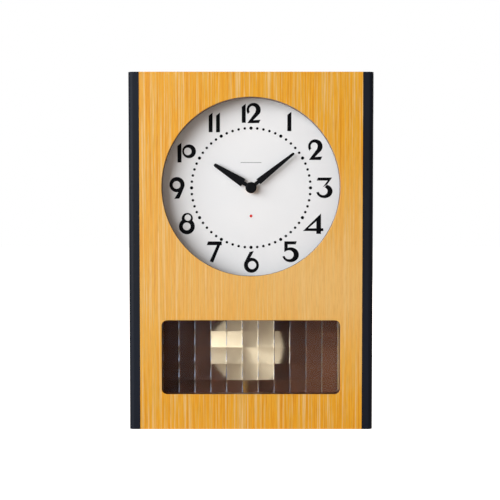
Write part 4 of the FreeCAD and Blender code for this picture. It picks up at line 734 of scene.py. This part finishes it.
def window_glass():
    """The pane: upright flutes on its front, level flutes on its back, closed round the edges."""
    (left, front, low), (right, back, high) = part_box("window_glass")
    across = samples(left, right, FIRST_X, FLUTE_X)
    upward = samples(low, high, FIRST_Z, FLUTE_Z)

    def front_y(x):
        return front + PANE_FRONT_BACK + flute(to_groove(x, FIRST_X, FLUTE_X), FLUTE_X, GROOVE_DEPTH)

    def back_y(z):
        return back - PANE_BACK_IN - flute(to_groove(z, FIRST_Z, FLUTE_Z), FLUTE_Z)

    points = [(x, front_y(x), z) for z in (low, high) for x in across]
    points += [(x, back_y(z), z) for x in (left, right) for z in upward]
    wide, tall = len(across), len(upward)
    bottom, top = range(wide), range(wide, 2 * wide)
    left_side = range(2 * wide, 2 * wide + tall)
    right_side = range(2 * wide + tall, 2 * wide + 2 * tall)
    faces = [(bottom[i], bottom[i + 1], top[i + 1], top[i]) for i in range(wide - 1)]
    faces += [(left_side[j + 1], right_side[j + 1], right_side[j], left_side[j]) for j in range(tall - 1)]
    faces.append((*reversed(bottom), left_side[0], right_side[0]))
    faces.append((*top, right_side[-1], left_side[-1]))
    faces.append((top[0], *reversed(left_side), bottom[0]))
    faces.append((bottom[-1], *right_side, top[-1]))
    item = piece("window_pane", points, faces, window_pane(), smooth=True)
    item.data.set_sharp_from_angle(angle=SHARP_ANGLE)
    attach(item, "case")
    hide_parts("window_glass")


window_glass()

# ---------------------------------------------------------------- floor, light and camera

FLOOR_HALF = 12.0
AIM = (0, 0, 0.2)
AMBIENT = (1, 0.87, 0.78, 1)
AMBIENT_STRENGTH = 0.195
LENS, SENSOR = 76.1, 36.0
CAMERA_SHIFT = (-0.002, 0.0600)
CAMERA_PLACE = (0.0, -1.092, 0.1975)
CAMERA_DOWN = 2.62


def white_floor():
    """A plain floor that lights the clock like pale paper and is seen as white."""
    shader = Shader("studio_floor", Specular_IOR_Level=0.1, Roughness=0.85)
    speck = shader.noise(60)
    shader.feed("Base Color", shader.ramp(speck, (0.3, (0.66, 0.58, 0.52, 1)), (0.7, (0.69, 0.61, 0.55, 1))))
    paper = shader.surface.outputs[0]
    glow = shader.node("ShaderNodeEmission", {"Color": WHITE, "Strength": 1.0}).outputs[0]
    both = shader.node("ShaderNodeAddShader", {0: paper, 1: glow}).outputs[0]
    seen = shader.node("ShaderNodeLightPath").outputs["Is Camera Ray"]
    shader.finish_with(shader.node("ShaderNodeMixShader", {0: seen, 1: paper, 2: both}).outputs[0])
    corners = [(x * FLOOR_HALF, y * FLOOR_HALF, 0) for x, y in ((-1, -1), (1, -1), (1, 1), (-1, 1))]
    item = piece("studio_floor", corners, [(0, 1, 2, 3)], shader.material)


def softbox(name, place, size, power, tint=(1, 1, 1)):
    lamp = bpy.data.lights.new(name, "AREA")
    lamp.shape = "RECTANGLE"
    lamp.size, lamp.size_y = size
    lamp.energy = power
    lamp.color = tint
    item = bpy.data.objects.new(name, lamp)
    item.location = place
    item.rotation_euler = (Vector(AIM) - Vector(place)).to_track_quat("-Z", "Y").to_euler()
    scene.collection.objects.link(item)


def studio_world():
    """Soft warm light from all round, which the camera sees as white."""
    world = bpy.data.worlds.new("studio")
    world.use_nodes = True
    nodes, links = world.node_tree.nodes, world.node_tree.links
    light = nodes["Background"]
    light.inputs["Color"].default_value = AMBIENT
    light.inputs["Strength"].default_value = AMBIENT_STRENGTH
    seen = nodes.new("ShaderNodeBackground")
    seen.inputs["Color"].default_value = WHITE
    seen.inputs["Strength"].default_value = 1.0
    mix = nodes.new("ShaderNodeMixShader")
    links.new(nodes.new("ShaderNodeLightPath").outputs["Is Camera Ray"], mix.inputs[0])
    links.new(light.outputs[0], mix.inputs[1])
    links.new(seen.outputs[0], mix.inputs[2])
    links.new(mix.outputs[0], nodes["World Output"].inputs["Surface"])
    scene.world = world


def studio_camera():
    data = bpy.data.cameras.new("camera")
    data.lens = LENS
    data.sensor_width = SENSOR
    data.shift_x, data.shift_y = CAMERA_SHIFT
    camera = bpy.data.objects.new("camera", data)
    camera.location = CAMERA_PLACE
    camera.rotation_euler = (math.radians(90 - CAMERA_DOWN), 0, 0)
    scene.collection.objects.link(camera)
    scene.camera = camera


white_floor()
softbox("key", (-1.85, -1.95, 0.7), (2.8, 2.0), 103.0, (0.90, 0.952, 1.0))
softbox("fill", (1.5, -1.7, 0.7), (1.0, 1.2), 0.9)
softbox("rear", (1.5, 2.3, 1.3), (1.8, 1.8), 60.0)
studio_world()
studio_camera()
scene.view_settings.view_transform = "Standard"
